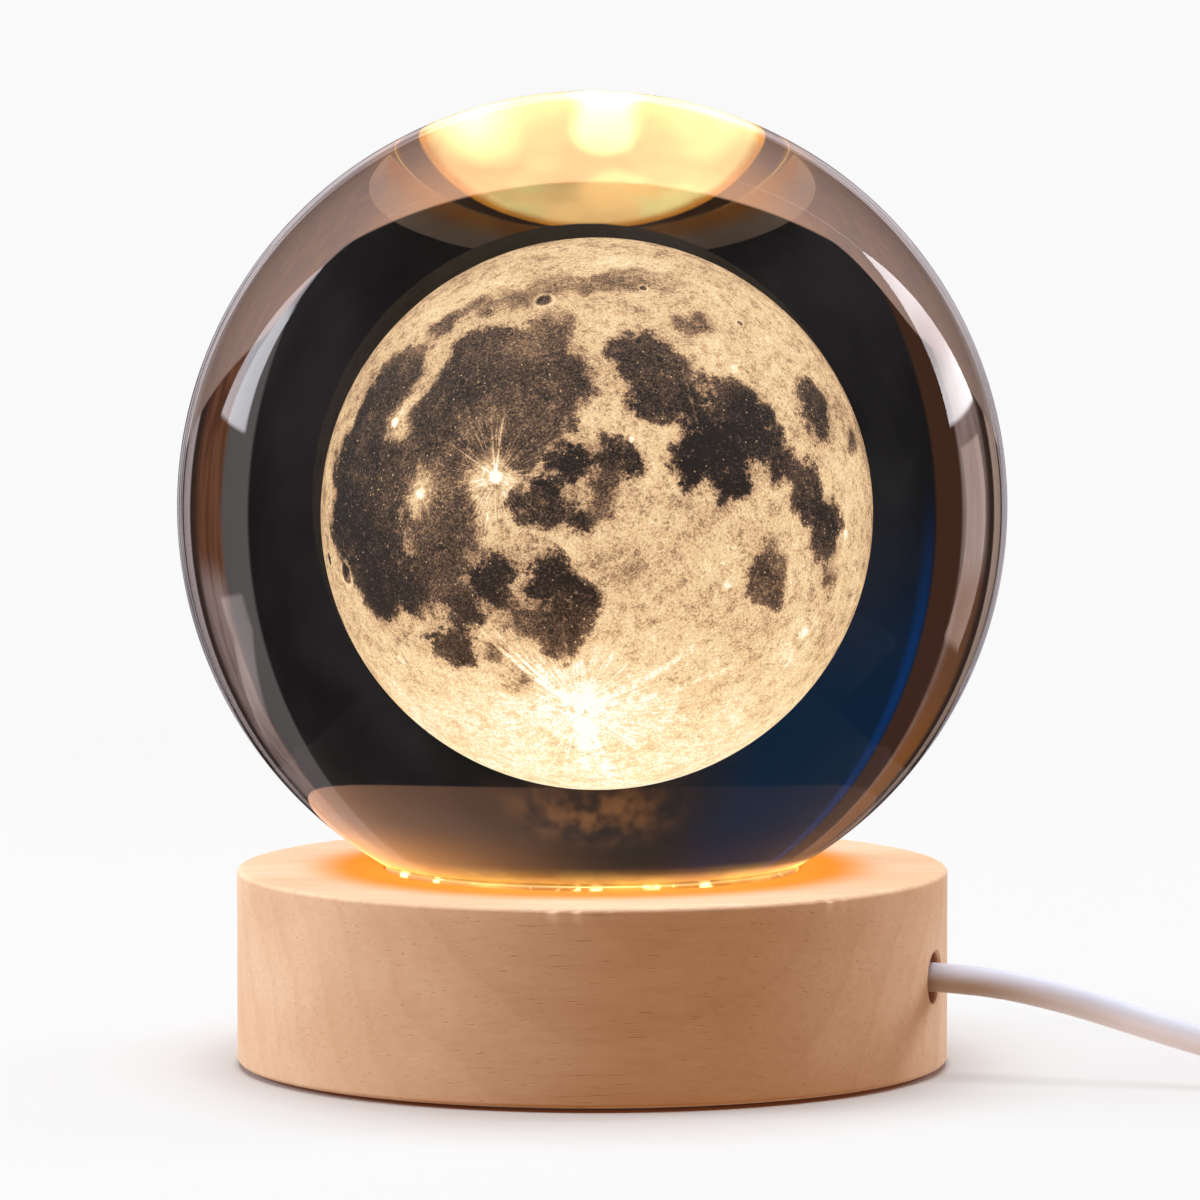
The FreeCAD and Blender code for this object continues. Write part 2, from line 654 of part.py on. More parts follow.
def biarc(start, leaving, end, arriving):
    """Two arcs that join two points with the headings given, and share one heading where they meet."""
    chord = end - start
    both = leaving + arriving
    lack = 1 - leaving.dot(arriving)
    root = math.sqrt(chord.dot(both) ** 2 + 2 * lack * chord.dot(chord))
    reach = (root - chord.dot(both)) / (2 * lack)
    meeting = (start + end + (leaving - arriving) * reach) * 0.5
    second = arc_from(end, arriving * -1, meeting)
    back = Part.Arc(meeting, second.value((second.FirstParameter + second.LastParameter) / 2), end)
    return [arc_from(start, leaving, meeting), back]


def coil_path():
    """The coil's whole centre line, straight for one diameter at each end."""
    middle, stations = coil_stations()
    first, leaving, _ = stations[0]
    last, arriving, _ = stations[-1]
    lead_in = first - leaving * size("cord_diameter")
    run_out = last + arriving * size("cord_diameter")
    curves = [Part.LineSegment(lead_in, first)]
    for (start, out, _), (end, into, _) in zip(stations, stations[1:]):
        curves += biarc(start, out, end, into)
    curves.append(Part.LineSegment(last, run_out))
    return middle, curves, lead_in, run_out, leaving, arriving


def spread_points(curves, spacing):
    """Points along the curves and their distances from the start."""
    points = []
    gone = []
    so_far = 0.0
    for curve in curves:
        length = curve.length()
        count = max(1, round(length / spacing))
        low, high = curve.FirstParameter, curve.LastParameter
        for k in range(count):
            points.append(curve.value(low + (high - low) * k / count))
            gone.append(so_far + length * k / count)
        so_far += length
    return points, gone


def least_gap(points, gone, diameter):
    """The least gap between two stretches of one tube, measured on its centre line's points."""
    apart = 4 * diameter
    nearest = math.inf
    for k, point in enumerate(points):
        for other in range(k + 1, len(points)):
            if gone[other] - gone[k] > apart:
                nearest = min(nearest, point.distanceToPoint(points[other]))
    return nearest - diameter


coil_middle, coil_curves, coil_start, coil_end, coil_leaving, coil_arriving = coil_path()
coil_points, coil_gone = spread_points(coil_curves, 0.7)


def cable_coil():
    path = Part.Wire([curve.toShape() for curve in coil_curves])
    feature = doc.addObject("Part::Feature", "cable_coil")
    feature.Label = "cable_coil"
    feature.Shape = swept(path, coil_start, coil_leaving, size("cord_diameter"))
    feature.Placement = Placement()
    gap = least_gap(coil_points, coil_gone, size("cord_diameter"))
    print(f"cable_coil: length {path.Length:.1f} mm, least gap to itself {gap:.2f} mm")
    return feature


def cable_run():
    """From the board's edge out through the wall, and down in a shallow arch to the coil's start."""
    points = (
        spot(size("cord_inner_end"), 0, CORD_UP),
        spot(36.5, 0, CORD_UP),
        spot(46.5, 0, 8.3),
        spot(58.5, 0, 4.9),
        spot(70.5, 0, COIL_UP),
        coil_start,
    )
    return tube("cable_run", points, size("cord_diameter"))


def plug_frame():
    """The plug's own frame: its origin where the cable ends, its first axis the way it points."""
    up = size("grip_thickness") / 2
    place = Vector(size("plug_place_x"), size("plug_place_y"), up)
    return Placement(place, Rotation(Vector(0, 0, 1), size("plug_heading")))


PLUG = plug_frame()


def cable_tail():
    """From the coil's top, off its side and down to the plug on the floor."""
    points = (
        coil_end,
        coil_end + coil_arriving * 11.0 - UP * 0.2,
        Vector(106.5, -27.0, 8.8),
        Vector(116.2, -19.0, 5.2),
        PLUG.multVec(Vector(-9.0, 0, 0)),
        PLUG.Base,
    )
    return tube("cable_tail", points, size("cord_diameter"))


def coil_tie():
    """A flat tie bent round the coil's turns at one place, with its two ends twisted together."""
    angle = math.radians(size("tie_angle"))
    away = Vector(math.cos(angle), math.sin(angle), 0)
    along = Vector(-away.y, away.x, 0)
    half = size("tie_width") / 2
    near = []
    for point in coil_points:
        from_middle = point - coil_middle
        if abs(from_middle.dot(along)) < half and from_middle.dot(away) > 0:
            near.append(from_middle)
    margin = size("cord_diameter") / 2 + size("tie_gap")
    low = min(p.dot(away) for p in near) - margin
    high = max(p.dot(away) for p in near) + margin
    foot = min(p.z for p in near) - margin
    top = max(p.z for p in near) + margin
    wall = size("tie_thickness")
    loops = []
    for grow, name in ((wall, "tie_outside"), (0.0, "tie_inside")):
        block = doc.addObject("Part::Box", name)
        block.Length = high - low + 2 * grow
        block.setExpression("Width", "Sizes.tie_width")
        block.Height = top - foot + 2 * grow
        block.Placement.Base = Vector(low - grow, -half, foot - grow)
        doc.recompute()
        soft = doc.addObject("Part::Fillet", f"{name}_rounded")
        soft.Base = block
        corner = size("cord_diameter") / 2 + grow
        lengthwise = [k + 1 for k, e in enumerate(block.Shape.Edges)
                      if abs(e.tangentAt(e.FirstParameter).y) > 0.9]
        soft.Edges = [(k, corner, corner) for k in lengthwise]
        loops.append(soft)
    band = doc.addObject("Part::Cut", "tie_band")
    band.Base, band.Tool = loops
    twist = doc.addObject("Part::Cylinder", "tie_twist")
    twist.setExpression("Radius", "Sizes.tie_twist_diameter / 2")
    twist.setExpression("Height", "Sizes.tie_twist_length")
    outward = Rotation(Vector(0, 1, 0), 90)
    middle = (top + foot) / 2
    twist.Placement = Placement(Vector(high + wall / 2, 0, middle), outward)
    tie = doc.addObject("Part::Fuse", "coil_tie")
    tie.Label = "coil_tie"
    tie.Base = band
    tie.Tool = twist
    tie.Placement = Placement(coil_middle, Rotation(Vector(0, 0, 1), size("tie_angle")))
    return tie


# ---------------------------------------------------------------- plug, along its own first axis
def plug_strain_relief():
    cone = doc.addObject("Part::Cone", "plug_strain_relief")
    cone.Label = "plug_strain_relief"
    cone.setExpression("Radius1", "Sizes.relief_narrow / 2")
    cone.setExpression("Radius2", "Sizes.relief_wide / 2")
    cone.setExpression("Height", "Sizes.relief_length")
    cone.Placement = PLUG.multiply(Placement(Vector(), Rotation(Vector(0, 1, 0), 90)))
    return cone


def plug_grip():
    body = new_body("plug_grip")
    face = new_sketch(body, "grip_outline", "YZ_Plane", lift="Sizes.relief_length")
    rectangle(face, ("0", "0"), "Sizes.grip_width", "Sizes.grip_thickness")
    pad(body, "grip_block", face, "Sizes.grip_length")

    def is_lengthwise(edge):
        return abs(edge.tangentAt(edge.FirstParameter).x) > 0.9

    rounded(body, "grip_edges", "Sizes.grip_round", is_lengthwise)
    body.Placement = PLUG
    return body


SHELL_START = "(Sizes.relief_length + Sizes.grip_length)"


def plug_shell():
    body = new_body("plug_shell")
    face = new_sketch(body, "shell_outline", "YZ_Plane", lift=SHELL_START)
    rectangle(face, ("0", "0"), "Sizes.shell_width", "Sizes.shell_height")
    inner_width = "Sizes.shell_width - 2 * Sizes.shell_wall"
    inner_height = "Sizes.shell_height - 2 * Sizes.shell_wall"
    rectangle(face, ("0", "0"), inner_width, inner_height)
    pad(body, "shell_tube", face, "Sizes.shell_length")
    windows = new_sketch(body, "latch_outline", "XY_Plane", lift="-Sizes.shell_height / 2")
    for side in ("-", ""):
        middle = (f"{SHELL_START} + Sizes.latch_reach", f"{side}Sizes.latch_spacing / 2")
        rectangle(windows, middle, "Sizes.latch_size", "Sizes.latch_size")
    cut(body, "latch_windows", windows, "Sizes.shell_height", reverse=True)
    body.Placement = PLUG
    return body


TONGUE_FOOT = "(Sizes.shell_wall - Sizes.shell_height / 2)"


def plug_tongue():
    body = new_body("plug_tongue")
    face = new_sketch(body, "tongue_outline", "YZ_Plane", lift=SHELL_START)
    middle = ("0", f"{TONGUE_FOOT} + Sizes.tongue_thickness / 2")
    inner_width = "Sizes.shell_width - 2 * Sizes.shell_wall"
    rectangle(face, middle, inner_width, "Sizes.tongue_thickness")
    pad(body, "tongue_block", face, "Sizes.tongue_length")
    body.Placement = PLUG
    return body


def plug_contacts():
    body = new_body("plug_contacts")
    top = f"{TONGUE_FOOT} + Sizes.tongue_thickness"
    strip = new_sketch(body, "contact_outline", "XY_Plane", lift=top)
    across = "Sizes.contact_spacing * (Sizes.contact_count - 1) / 2"
    middle = (f"{SHELL_START} + Sizes.tongue_length - Sizes.contact_length / 2 - Sizes.contact_width / 2",
              f"-{across}")
    rectangle(strip, middle, "Sizes.contact_length", "Sizes.contact_width")
    contact = pad(body, "contact", strip, "Sizes.contact_thickness")
    row = body.newObject("PartDesign::LinearPattern", "contact_row")
    row.Originals = [contact]
    row.Direction = (datum(body, "Y_Axis"), [""])
    row.setExpression("Length", f"2 * {across}")
    row.setExpression("Occurrences", "Sizes.contact_count")
    body.Tip = row
    doc.recompute()
    body.Placement = PLUG
    return body


# ---------------------------------------------------------------- washer, ball and engraved globe
def seat_washer():
    body = new_body("seat_washer")
    flat = new_sketch(body, "washer_outline", "XY_Plane", lift=LEDGE)
    circle(flat, ("0", "0"), "Sizes.flat_diameter")
    circle(flat, ("0", "0"), "Sizes.flat_diameter - 2 * Sizes.washer_width")
    pad(body, "washer", flat, "Sizes.washer_thickness")
    return body


def globe_place(shape):
    """Ties a sphere's middle to the engraved globe's place."""
    shape.setExpression("Placement.Base.x", "Sizes.moon_side")
    shape.setExpression("Placement.Base.z", f"{BALL_CENTRE} - Sizes.moon_drop")


def glass_ball():
    """The polished ball with its ground flat, hollow only where the engraved globe is."""
    body = new_body("glass_solid")
    profile = new_sketch(body, "ball_profile", "XZ_Plane", lift="0")
    across = worth("Sizes.flat_diameter / 2")
    centre = Vector(0, worth(BALL_CENTRE), 0)
    rim = Vector(across, worth(BALL_FOOT), 0)
    crown = centre + Vector(0, size("ball_diameter") / 2, 0)
    foot = Vector(0, rim.y, 0)
    start = math.atan2(rim.y - centre.y, rim.x)
    ball = Part.Circle(centre, Vector(0, 0, 1), size("ball_diameter") / 2)
    arc = profile.addGeometry(Part.ArcOfCircle(ball, start, math.pi / 2))
    axis = profile.addGeometry(Part.LineSegment(crown, foot))
    flat = profile.addGeometry(Part.LineSegment(foot, rim))
    for one, end, other, begin in ((arc, 2, axis, 1), (axis, 2, flat, 1), (flat, 2, arc, 1)):
        profile.addConstraint(Sketcher.Constraint("Coincident", one, end, other, begin))
    profile.addConstraint(Sketcher.Constraint("PointOnObject", arc, 2, -2))
    pin_down(profile, axis, 2, ("0", BALL_FOOT))
    pin_down(profile, arc, 3, ("0", BALL_CENTRE))
    pin_down(profile, flat, 2, ("Sizes.flat_diameter / 2", BALL_FOOT))
    doc.recompute()
    turned(body, "ball_grinding", profile)
    ground = body.Tip
    edges = [f"Edge{k + 1}" for k, e in enumerate(ground.Shape.Edges) if is_circle(e, across)]
    bevel = body.newObject("PartDesign::Chamfer", "flat_bevel")
    bevel.Base = (ground, edges)
    bevel.setExpression("Size", "Sizes.flat_bevel")
    doc.recompute()
    void = doc.addObject("Part::Sphere", "engraving_void")
    void.setExpression("Radius", "Sizes.moon_diameter / 2 + Sizes.engraving_gap")
    globe_place(void)
    glass = doc.addObject("Part::Cut", "glass_ball")
    glass.Label = "glass_ball"
    glass.Base = body
    glass.Tool = void
    return glass


def engraved_moon():
    globe = doc.addObject("Part::Sphere", "engraved_moon")
    globe.Label = "engraved_moon"
    globe.setExpression("Radius", "Sizes.moon_diameter / 2")
    globe_place(globe)
    return globe


# ---------------------------------------------------------------- the lamp, put together
pieces = [
    wooden_base(),
    base_pad(),
    bottom_cover(),
    cover_screws(),
    led_board(),
    board_screws(),
    leds(),
    led_phosphors(),
    resistors(),
    solder_joints(),
    lead("lead_red", 1),
    lead("lead_black", -1),
    cable_clamp(),
    cable_run(),
    cable_coil(),
    coil_tie(),
    cable_tail(),
    plug_strain_relief(),
    plug_grip(),
    plug_shell(),
    plug_tongue(),
    plug_contacts(),
    seat_washer(),
    glass_ball(),
    engraved_moon(),
]
doc.recompute()

for thing in doc.Objects:
    if "Invalid" in thing.State or "Error" in thing.State:
        raise RuntimeError(f"{thing.Label} didn't recompute: {thing.State}")
for piece in pieces:
    if piece.Shape.isNull() or not piece.Shape.isValid() or not piece.Shape.Solids:
        raise RuntimeError(f"{piece.Label} has no valid solid")

os.makedirs("parts", exist_ok=True)
for piece in pieces:
    piece.Shape.exportStep(f"parts/{piece.Label}.step")
    box = piece.Shape.BoundBox
    print(f"{piece.Label}: {len(piece.Shape.Solids)} solids, {piece.Shape.Volume:.1f} mm3, "
          f"x {box.XMin:.2f}..{box.XMax:.2f}, y {box.YMin:.2f}..{box.YMax:.2f}, "
          f"z {box.ZMin:.2f}..{box.ZMax:.2f}")
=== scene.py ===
import math

import bpy
import numpy as np
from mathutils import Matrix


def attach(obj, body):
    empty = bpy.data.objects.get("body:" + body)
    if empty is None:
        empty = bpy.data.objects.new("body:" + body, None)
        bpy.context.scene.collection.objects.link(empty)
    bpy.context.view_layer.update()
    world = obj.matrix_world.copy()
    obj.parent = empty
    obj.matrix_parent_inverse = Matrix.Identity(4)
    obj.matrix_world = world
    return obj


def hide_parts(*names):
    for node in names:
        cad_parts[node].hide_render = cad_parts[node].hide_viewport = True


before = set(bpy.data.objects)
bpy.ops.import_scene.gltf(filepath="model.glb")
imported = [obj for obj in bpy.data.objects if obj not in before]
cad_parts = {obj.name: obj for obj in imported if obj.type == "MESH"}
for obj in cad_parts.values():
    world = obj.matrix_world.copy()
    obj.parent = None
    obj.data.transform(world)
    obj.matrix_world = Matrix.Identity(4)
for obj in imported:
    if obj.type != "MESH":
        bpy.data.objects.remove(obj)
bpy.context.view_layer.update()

# ---------------------------------------------------------------- camera
# The lamp is photographed square on, from a little above the ball's middle, through a long lens
# 0.8 m away. The picture is 1200 pixels on a side.
photo_side = 1200
photo_focal = 8318
photo_dip = 4.79
film_side = 36.0
camera_place = (0.00075, -0.800, 0.112)


def placed(name, data):
    """A new object of the scene that shows this data."""
    piece = bpy.data.objects.new(name, data)
    bpy.context.scene.collection.objects.link(piece)
    return piece


eye = placed("photo_camera", bpy.data.cameras.new("photo_camera"))
eye.data.sensor_width = film_side
eye.data.lens = film_side * photo_focal / photo_side
eye.location = camera_place
eye.rotation_euler = (math.radians(90 - photo_dip), 0, 0)
bpy.context.scene.camera = eye
bpy.context.scene.view_settings.view_transform = "Standard"


# ---------------------------------------------------------------- floor and background
# White paper under the lamp, so wide that it fills the picture, with a warm dim room all round.
# Away from the lamp it goes over into an even white.
def sign(operation, turned=False):
    """An arithmetic sign, as a Math node of two numbers, the second one first if turned."""
    def joined(self, other):
        first, second = (other, self) if turned else (self, other)
        return self.finish.node("Math", {"operation": operation}, {0: first, 1: second})

    return joined


class Spread:
    """A number, colour or direction that changes over a surface: a node's output."""

    def __init__(self, finish, socket):
        self.finish = finish
        self.socket = socket

    __add__ = __radd__ = sign("ADD")
    __sub__, __rsub__ = sign("SUBTRACT"), sign("SUBTRACT", turned=True)
    __mul__ = __rmul__ = sign("MULTIPLY")
    __truediv__, __pow__ = sign("DIVIDE"), sign("POWER")
    above, below = sign("MAXIMUM"), sign("MINIMUM")
    bearing = sign("ARCTAN2")

    def maths(self, operation):
        return self.finish.node("Math", {"operation": operation}, {0: self})

    def size(self):
        return self.maths("ABSOLUTE")

    def vector(self, operation, other=(0, 0, 0)):
        """Vector arithmetic, with a number as the result of a length, a distance or a dot product."""
        output = "Value" if operation in ("LENGTH", "DISTANCE", "DOT_PRODUCT") else "Vector"
        other = other if isinstance(other, Spread) else tuple(other)
        return self.finish.node("VectorMath", {"operation": operation}, {0: self, 1: other}, output)

    def ease(self, low, high, start=0.0, end=1.0):
        """Runs smoothly from start at low to end at high, and stays there."""
        settings = {"interpolation_type": "SMOOTHSTEP"}
        return self.finish.node("MapRange", settings, {0: self, 1: low, 2: high, 3: start, 4: end})

    def part(self, axis):
        """One coordinate, X, Y or Z."""
        return self.finish.node("SeparateXYZ", {}, {0: self}, axis)

    def parts(self):
        return [self.part(axis) for axis in "XYZ"]

    def reach(self):
        """How far a place is from the upright line through 0."""
        x, y = self.part("X"), self.part("Y")
        return (x * x + y * y) ** 0.5


class Finish:
    """A finish as a tree of nodes, on a material or on the world."""

    def __init__(self, owner):
        owner.use_nodes = True
        self.owner = owner
        self.tree = owner.node_tree
        self.tree.nodes.clear()

    def node(self, kind, settings=None, values=None, output=0):
        """A node of a type: its settings first, then the values or links of its sockets."""
        node = self.tree.nodes.new("ShaderNode" + kind)
        for name, value in (settings or {}).items():
            if name == "stops":
                ramp = node.color_ramp.elements
                while len(ramp) < len(value):
                    ramp.new(0.5)
                for stop, (at, colour) in zip(ramp, value):
                    stop.position = at
                    stop.color = (*colour, 1)
            else:
                setattr(node, name, value)
        for name, value in (values or {}).items():
            if isinstance(value, Spread):
                self.tree.links.new(value.socket, node.inputs[name])
            else:
                node.inputs[name].default_value = value
        return Spread(self, node.outputs[output])

    def place(self, scale=1000.0, turn=(0, 0, 0), middle=(0, 0, 0)):
        """Object coordinates, moved so that middle is 0, turned in degrees and scaled, mostly to mm."""
        here = self.node("TexCoord", output="Object").vector("SUBTRACT", middle)
        angles = tuple(math.radians(angle) for angle in turn)
        turned = self.node("Mapping", {}, {"Vector": here, "Rotation": angles})
        return turned.vector("MULTIPLY", scale if isinstance(scale, tuple) else (scale,) * 3)

    def noise(self, where, scale, detail=2.0, roughness=0.5):
        sockets = {"Vector": where, "Scale": scale, "Detail": detail, "Roughness": roughness}
        return self.node("TexNoise", {}, sockets, "Fac")

    def cells(self, where, scale, output="Distance"):
        """Scattered points: how far the nearest one is, or its own random Color."""
        return self.node("TexVoronoi", {}, {"Vector": where, "Scale": scale}, output)

    def blend(self, share, first, second):
        """A colour that goes from first to second."""
        pair = (first, second)
        first, second = (colour if isinstance(colour, Spread) else (*colour, 1) for colour in pair)
        return self.node("Mix", {"data_type": "RGBA"}, {0: share, 6: first, 7: second}, 2)

    def coats(self, colour, *coats):
        """A colour with coats over it, each given by how much of it covers and its own colour."""
        for share, coat in coats:
            colour = self.blend(share, colour, coat)
        return colour

    def bump(self, height, depth, strength=1.0):
        """A bumpy normal from a height in depths of so many metres."""
        return self.node("Bump", {}, {"Height": height, "Distance": depth, "Strength": strength})

    def glow(self, colour):
        return self.node("Emission", {}, {"Color": colour, "Strength": 1.0})

    def surface(self, **sockets):
        """The shader of a finish. Its sockets are named with _ for a space."""
        values = {}
        for name, value in sockets.items():
            values[name.replace("_", " ")] = (*value, 1) if isinstance(value, tuple) else value
        return self.show(self.node("BsdfPrincipled", {}, values))

    def show(self, shader):
        end = "OutputWorld" if isinstance(self.owner, bpy.types.World) else "OutputMaterial"
        out = self.tree.nodes.new("ShaderNode" + end)
        self.tree.links.new(shader.socket, out.inputs["Surface"])
        return self.owner


def finish(name):
    return Finish(bpy.data.materials.new(name))


def put(name, points, faces, material, crease=None):
    """A mesh object of these points and faces at the origin, smooth except at sharper edges."""
    mesh = bpy.data.meshes.new(name)
    mesh.from_pydata(np.asarray(points).tolist(), [], faces)
    mesh.shade_smooth()
    if crease is not None:
        mesh.set_sharp_from_angle(angle=math.radians(crease))
    mesh.materials.append(material)
    return placed(name, mesh)


# The first paper colour is a painted shadow, darker round the lamp's foot; the second is the paper's own.
paper_painted_shadow, paper_far = (0.525, 0.400, 0.315), (0.645, 0.528, 0.440)
background_white = 0.950
daylight = (0.325, 0.190, 0.092)
shadow_start, shadow_end, shadow_squeeze = 0.036, 0.068, 1.35
white_start, white_end = 0.16, 0.40
under_start, under_end = 0.0350, 0.0342


def paper():
    """Lit paper, painted darker near the lamp as shadow, turning to even white outwards, sooner to the
    sides.
    """
    made = finish("white_paper")
    where = made.place(scale=1.0)
    away = where.vector("MULTIPLY", (shadow_squeeze, 1, 1)).vector("LENGTH")
    far = away.ease(shadow_start, shadow_end)
    under = where.vector("LENGTH").ease(under_start, under_end)
    plain = (far * 0.63 + 0.12 + away.ease(white_start, white_end) * 0.25) * (1 - under)
    lit = made.node("BsdfDiffuse", {}, {"Color": made.blend(far, paper_painted_shadow, paper_far)})
    even = made.glow((background_white,) * 3 + (1,))
    return made.show(made.node("MixShader", {}, {0: plain, 1: lit, 2: even}))


half = 20.0
corners = [(-half, -half, 0), (half, -half, 0), (half, half, 0), (-half, half, 0)]
floor = put("paper_floor", corners, [(0, 1, 2, 3)], paper())
floor.visible_glossy = floor.visible_transmission = floor.visible_diffuse = False

world = bpy.data.worlds.new("daylight")
bpy.context.scene.world = world
sky = Finish(world)
seen = sky.node("LightPath", output="Is Camera Ray")
for kind in ("Is Glossy Ray", "Is Transmission Ray"):
    seen = seen.above(sky.node("LightPath", output=kind))
tone = sky.blend(seen, daylight, (background_white,) * 3)
sky.show(sky.node("Background", {}, {"Color": tone, "Strength": 1.0}))


# ---------------------------------------------------------------- lamps
# Soft boxes of a small studio: a large one overhead, one to the left, and one to the right and a
# little behind, all cooler than the dim room. Only their light is used, so none shows in the glass.
soft_box_tint = (0.93, 1.24, 1.62)
aimed_up = 0.02


def soft_box(name, azimuth, elevation, away, side, level):
    """A square area light that gives this level on a surface facing it.

    Its azimuth is from the front towards the right."""
    light = bpy.data.lights.new(name, "AREA")
    light.size = side
    light.energy = level * (math.pi * away) ** 2
    light.color = soft_box_tint
    box = placed(name, light)
    turn, rise = math.radians(azimuth), math.radians(elevation)
    out = np.array([math.sin(turn) * math.cos(rise), -math.cos(turn) * math.cos(rise), math.sin(rise)])
    box.location = out * away + np.array([0, 0, aimed_up])
    box.rotation_euler = (math.pi / 2 - rise, 0, turn)
    box.visible_camera = box.visible_glossy = box.visible_transmission = False


soft_box("box_overhead", 0, 90, 1.2, 0.9, 1.13)
soft_box("box_left", -88, 22, 0.8, 0.34, 0.80)
soft_box("box_right", 116, 20, 0.8, 0.28, 0.47)

# ---------------------------------------------------------------- dark tent round the ball
# Glass is photographed in a dark tent, so that its edges stand out. Its linings are painted: one is a view
# that shows through the ball, the other painted highlights and reflections that shine on its surface.
# Neither lights or shades anything.
MM = 0.001
DEGREES = 180 / math.pi
ball_up = 54.04
ball_middle = (0.0, 0.0, ball_up * MM)


def wrapped(rings, first=None, last=None, closed=False):
    """Points and faces of a surface through rings of points, an array of rings by points by 3.

    Four-sided faces join each ring to the next one, and the last to the first if closed. A first or
    last point closes that end with a fan. Rings run counter-clockwise seen from where they go to."""
    count, around = rings.shape[:2]
    index = np.arange(count * around).reshape(count, around)
    low = index if closed else index[:-1]
    high = np.roll(index, -1, axis=0) if closed else index[1:]
    beside = np.roll(low, -1, axis=1)
    faces = np.stack([low, beside, np.roll(high, -1, axis=1), high], axis=-1).reshape(-1, 4).tolist()
    points = rings.reshape(-1, 3)
    for pole, ring, flip in ((first, index[0], True), (last, index[-1], False)):
        if pole is None:
            continue
        top = len(points)
        points = np.vstack([points, [pole]])
        pair = (np.roll(ring, -1), ring) if flip else (ring, np.roll(ring, -1))
        faces += np.stack([*pair, np.full(around, top)], axis=-1).tolist()
    return points, faces


def circle(count):
    """This many angles all round."""
    return np.linspace(0, 2 * math.pi, count, endpoint=False)


def turned(across, up, around):
    """Rings of a line of points turned about the lamp's axis, each point so far across and up."""
    across, up = (side if side.ndim > 1 else side[:, None] for side in (across, up))
    turn = circle(around)
    return np.stack([across * np.cos(turn), across * np.sin(turn), up + 0 * turn], axis=-1)


def directions(made):
    """The direction from the ball's middle: its three parts, and its azimuth from the back and its
    elevation in degrees."""
    unit = made.place(1.0, middle=ball_middle).vector("NORMALIZE")
    x, y, z = unit.parts()
    return unit, x, y, z, x.bearing(y) * DEGREES, z.maths("ARCSINE") * DEGREES


def tent_lining():
    """Painted view: dark walls, a rose-brown table below, and at the sides grey, bronze and pale panels.

    Glass turns the picture over: left is what shows at the right, and down is what shows above."""
    made = finish("tent_lining")
    unit, x, y, z, side, rise = directions(made)
    streak = made.noise(unit.vector("MULTIPLY", (30, 30, 3)), 1.0, 2.0)
    wall = x.size().bearing(y.size()) * DEGREES
    left = side.ease(2, -2)
    low = rise.ease(3, 9)
    cloud = made.noise(unit, 3.0, 3.0).ease(0.35, 0.7)
    dark = made.blend(cloud, (0.009, 0.008, 0.008), (0.022, 0.020, 0.020))
    # A painted reflection of the moon's glow: brown streaks below it, as if reflected inside the ball.
    moon_reflection_streaks = rise.ease(22, 27) * rise.ease(38, 28) * wall.ease(14, 2) * y.ease(0.0, 0.1)
    deep = left * rise.ease(-8, 20) * wall.ease(8, 20)
    blue_line = left * wall.ease(36.5, 38.5) * wall.ease(40.5, 39.5) * rise.ease(-8, 18)
    grey = made.blend(left, (0.105, 0.094, 0.092), (0.055, 0.022, 0.012))
    bronze = made.blend(streak.ease(0.4, 0.65), (0.17, 0.066, 0.034), (0.10, 0.038, 0.020))
    mauve = made.blend(streak.ease(0.35, 0.65), (0.32, 0.225, 0.205), (0.23, 0.155, 0.135))
    warm = made.blend(rise.ease(12, 40), (0.17, 0.070, 0.034), (0.34, 0.12, 0.025))
    pale = made.blend(left, (0.62, 0.50, 0.50), (0.60, 0.42, 0.34))
    edge = y.size() * (0.83 - wall.ease(34, 46) * 0.23)
    edge = edge.above(x.size() * wall.ease(74, 80) * 0.83)
    rose = made.blend(wall.ease(18, 40), (0.66, 0.36, 0.23), (0.35, 0.235, 0.205))
    rose = made.coats(rose, (streak.ease(0.35, 0.7) * 0.35, (0.52, 0.30, 0.20)),
                      (wall.ease(66, 76), (0.80, 0.66, 0.62)))
    return made.show(made.glow(made.coats(
        dark, (moon_reflection_streaks * streak.ease(0.30, 0.75), (0.20, 0.085, 0.034)), (deep, (0.004, 0.016, 0.040)),
        (blue_line, (0.004, 0.030, 0.120)), (wall.ease(40, 41), grey),
        (wall.ease(48, 49.5), made.blend(left, bronze, mauve)), (wall.ease(47, 52) * low * left, warm),
        (wall.ease(48, 50) * low * (1 - left), mauve), (wall.ease(59, 63), (0.045, 0.022, 0.015)),
        (wall.ease(65, 66.5) * wall.ease(73, 71.5), pale), ((edge * -1 - z).ease(-0.004, 0.012), rose),
        (rise.ease(49, 56), (0.20, 0.070, 0.020)))))


tent_radius = 0.6
rise = np.linspace(-math.pi / 2, math.pi / 2, 65)[1:-1]
rings = turned(tent_radius * np.cos(rise), ball_middle[2] + tent_radius * np.sin(rise), 128)
points, faces = wrapped(rings, *((0, 0, ball_middle[2] + end * tent_radius) for end in (-1, 1)))
tent = put("dark_tent", points, faces, tent_lining())


hood_radius = 0.1
hood_floor = 0.0192
hood_hole, hood_ring = 0.0202, 0.05


def dome(middle, radius, foot, floor, steps, around, bevel=0.0, closed=False):
    """A ball cut off at its foot, where it has flat rings of these radii. It faces outwards.

    It is closed at its top, and if told also at its foot, with a bevel of this size at the edge."""
    start = math.asin((foot - middle) / radius) + bevel / radius
    rise = np.linspace(start, math.pi / 2, steps)[:-1]
    across = np.concatenate([floor, radius * np.cos(rise)])
    up = np.concatenate([[foot] * len(floor), middle + radius * np.sin(rise)])
    return wrapped(turned(across, up, around), (0, 0, foot) if closed else None, (0, 0, middle + radius))


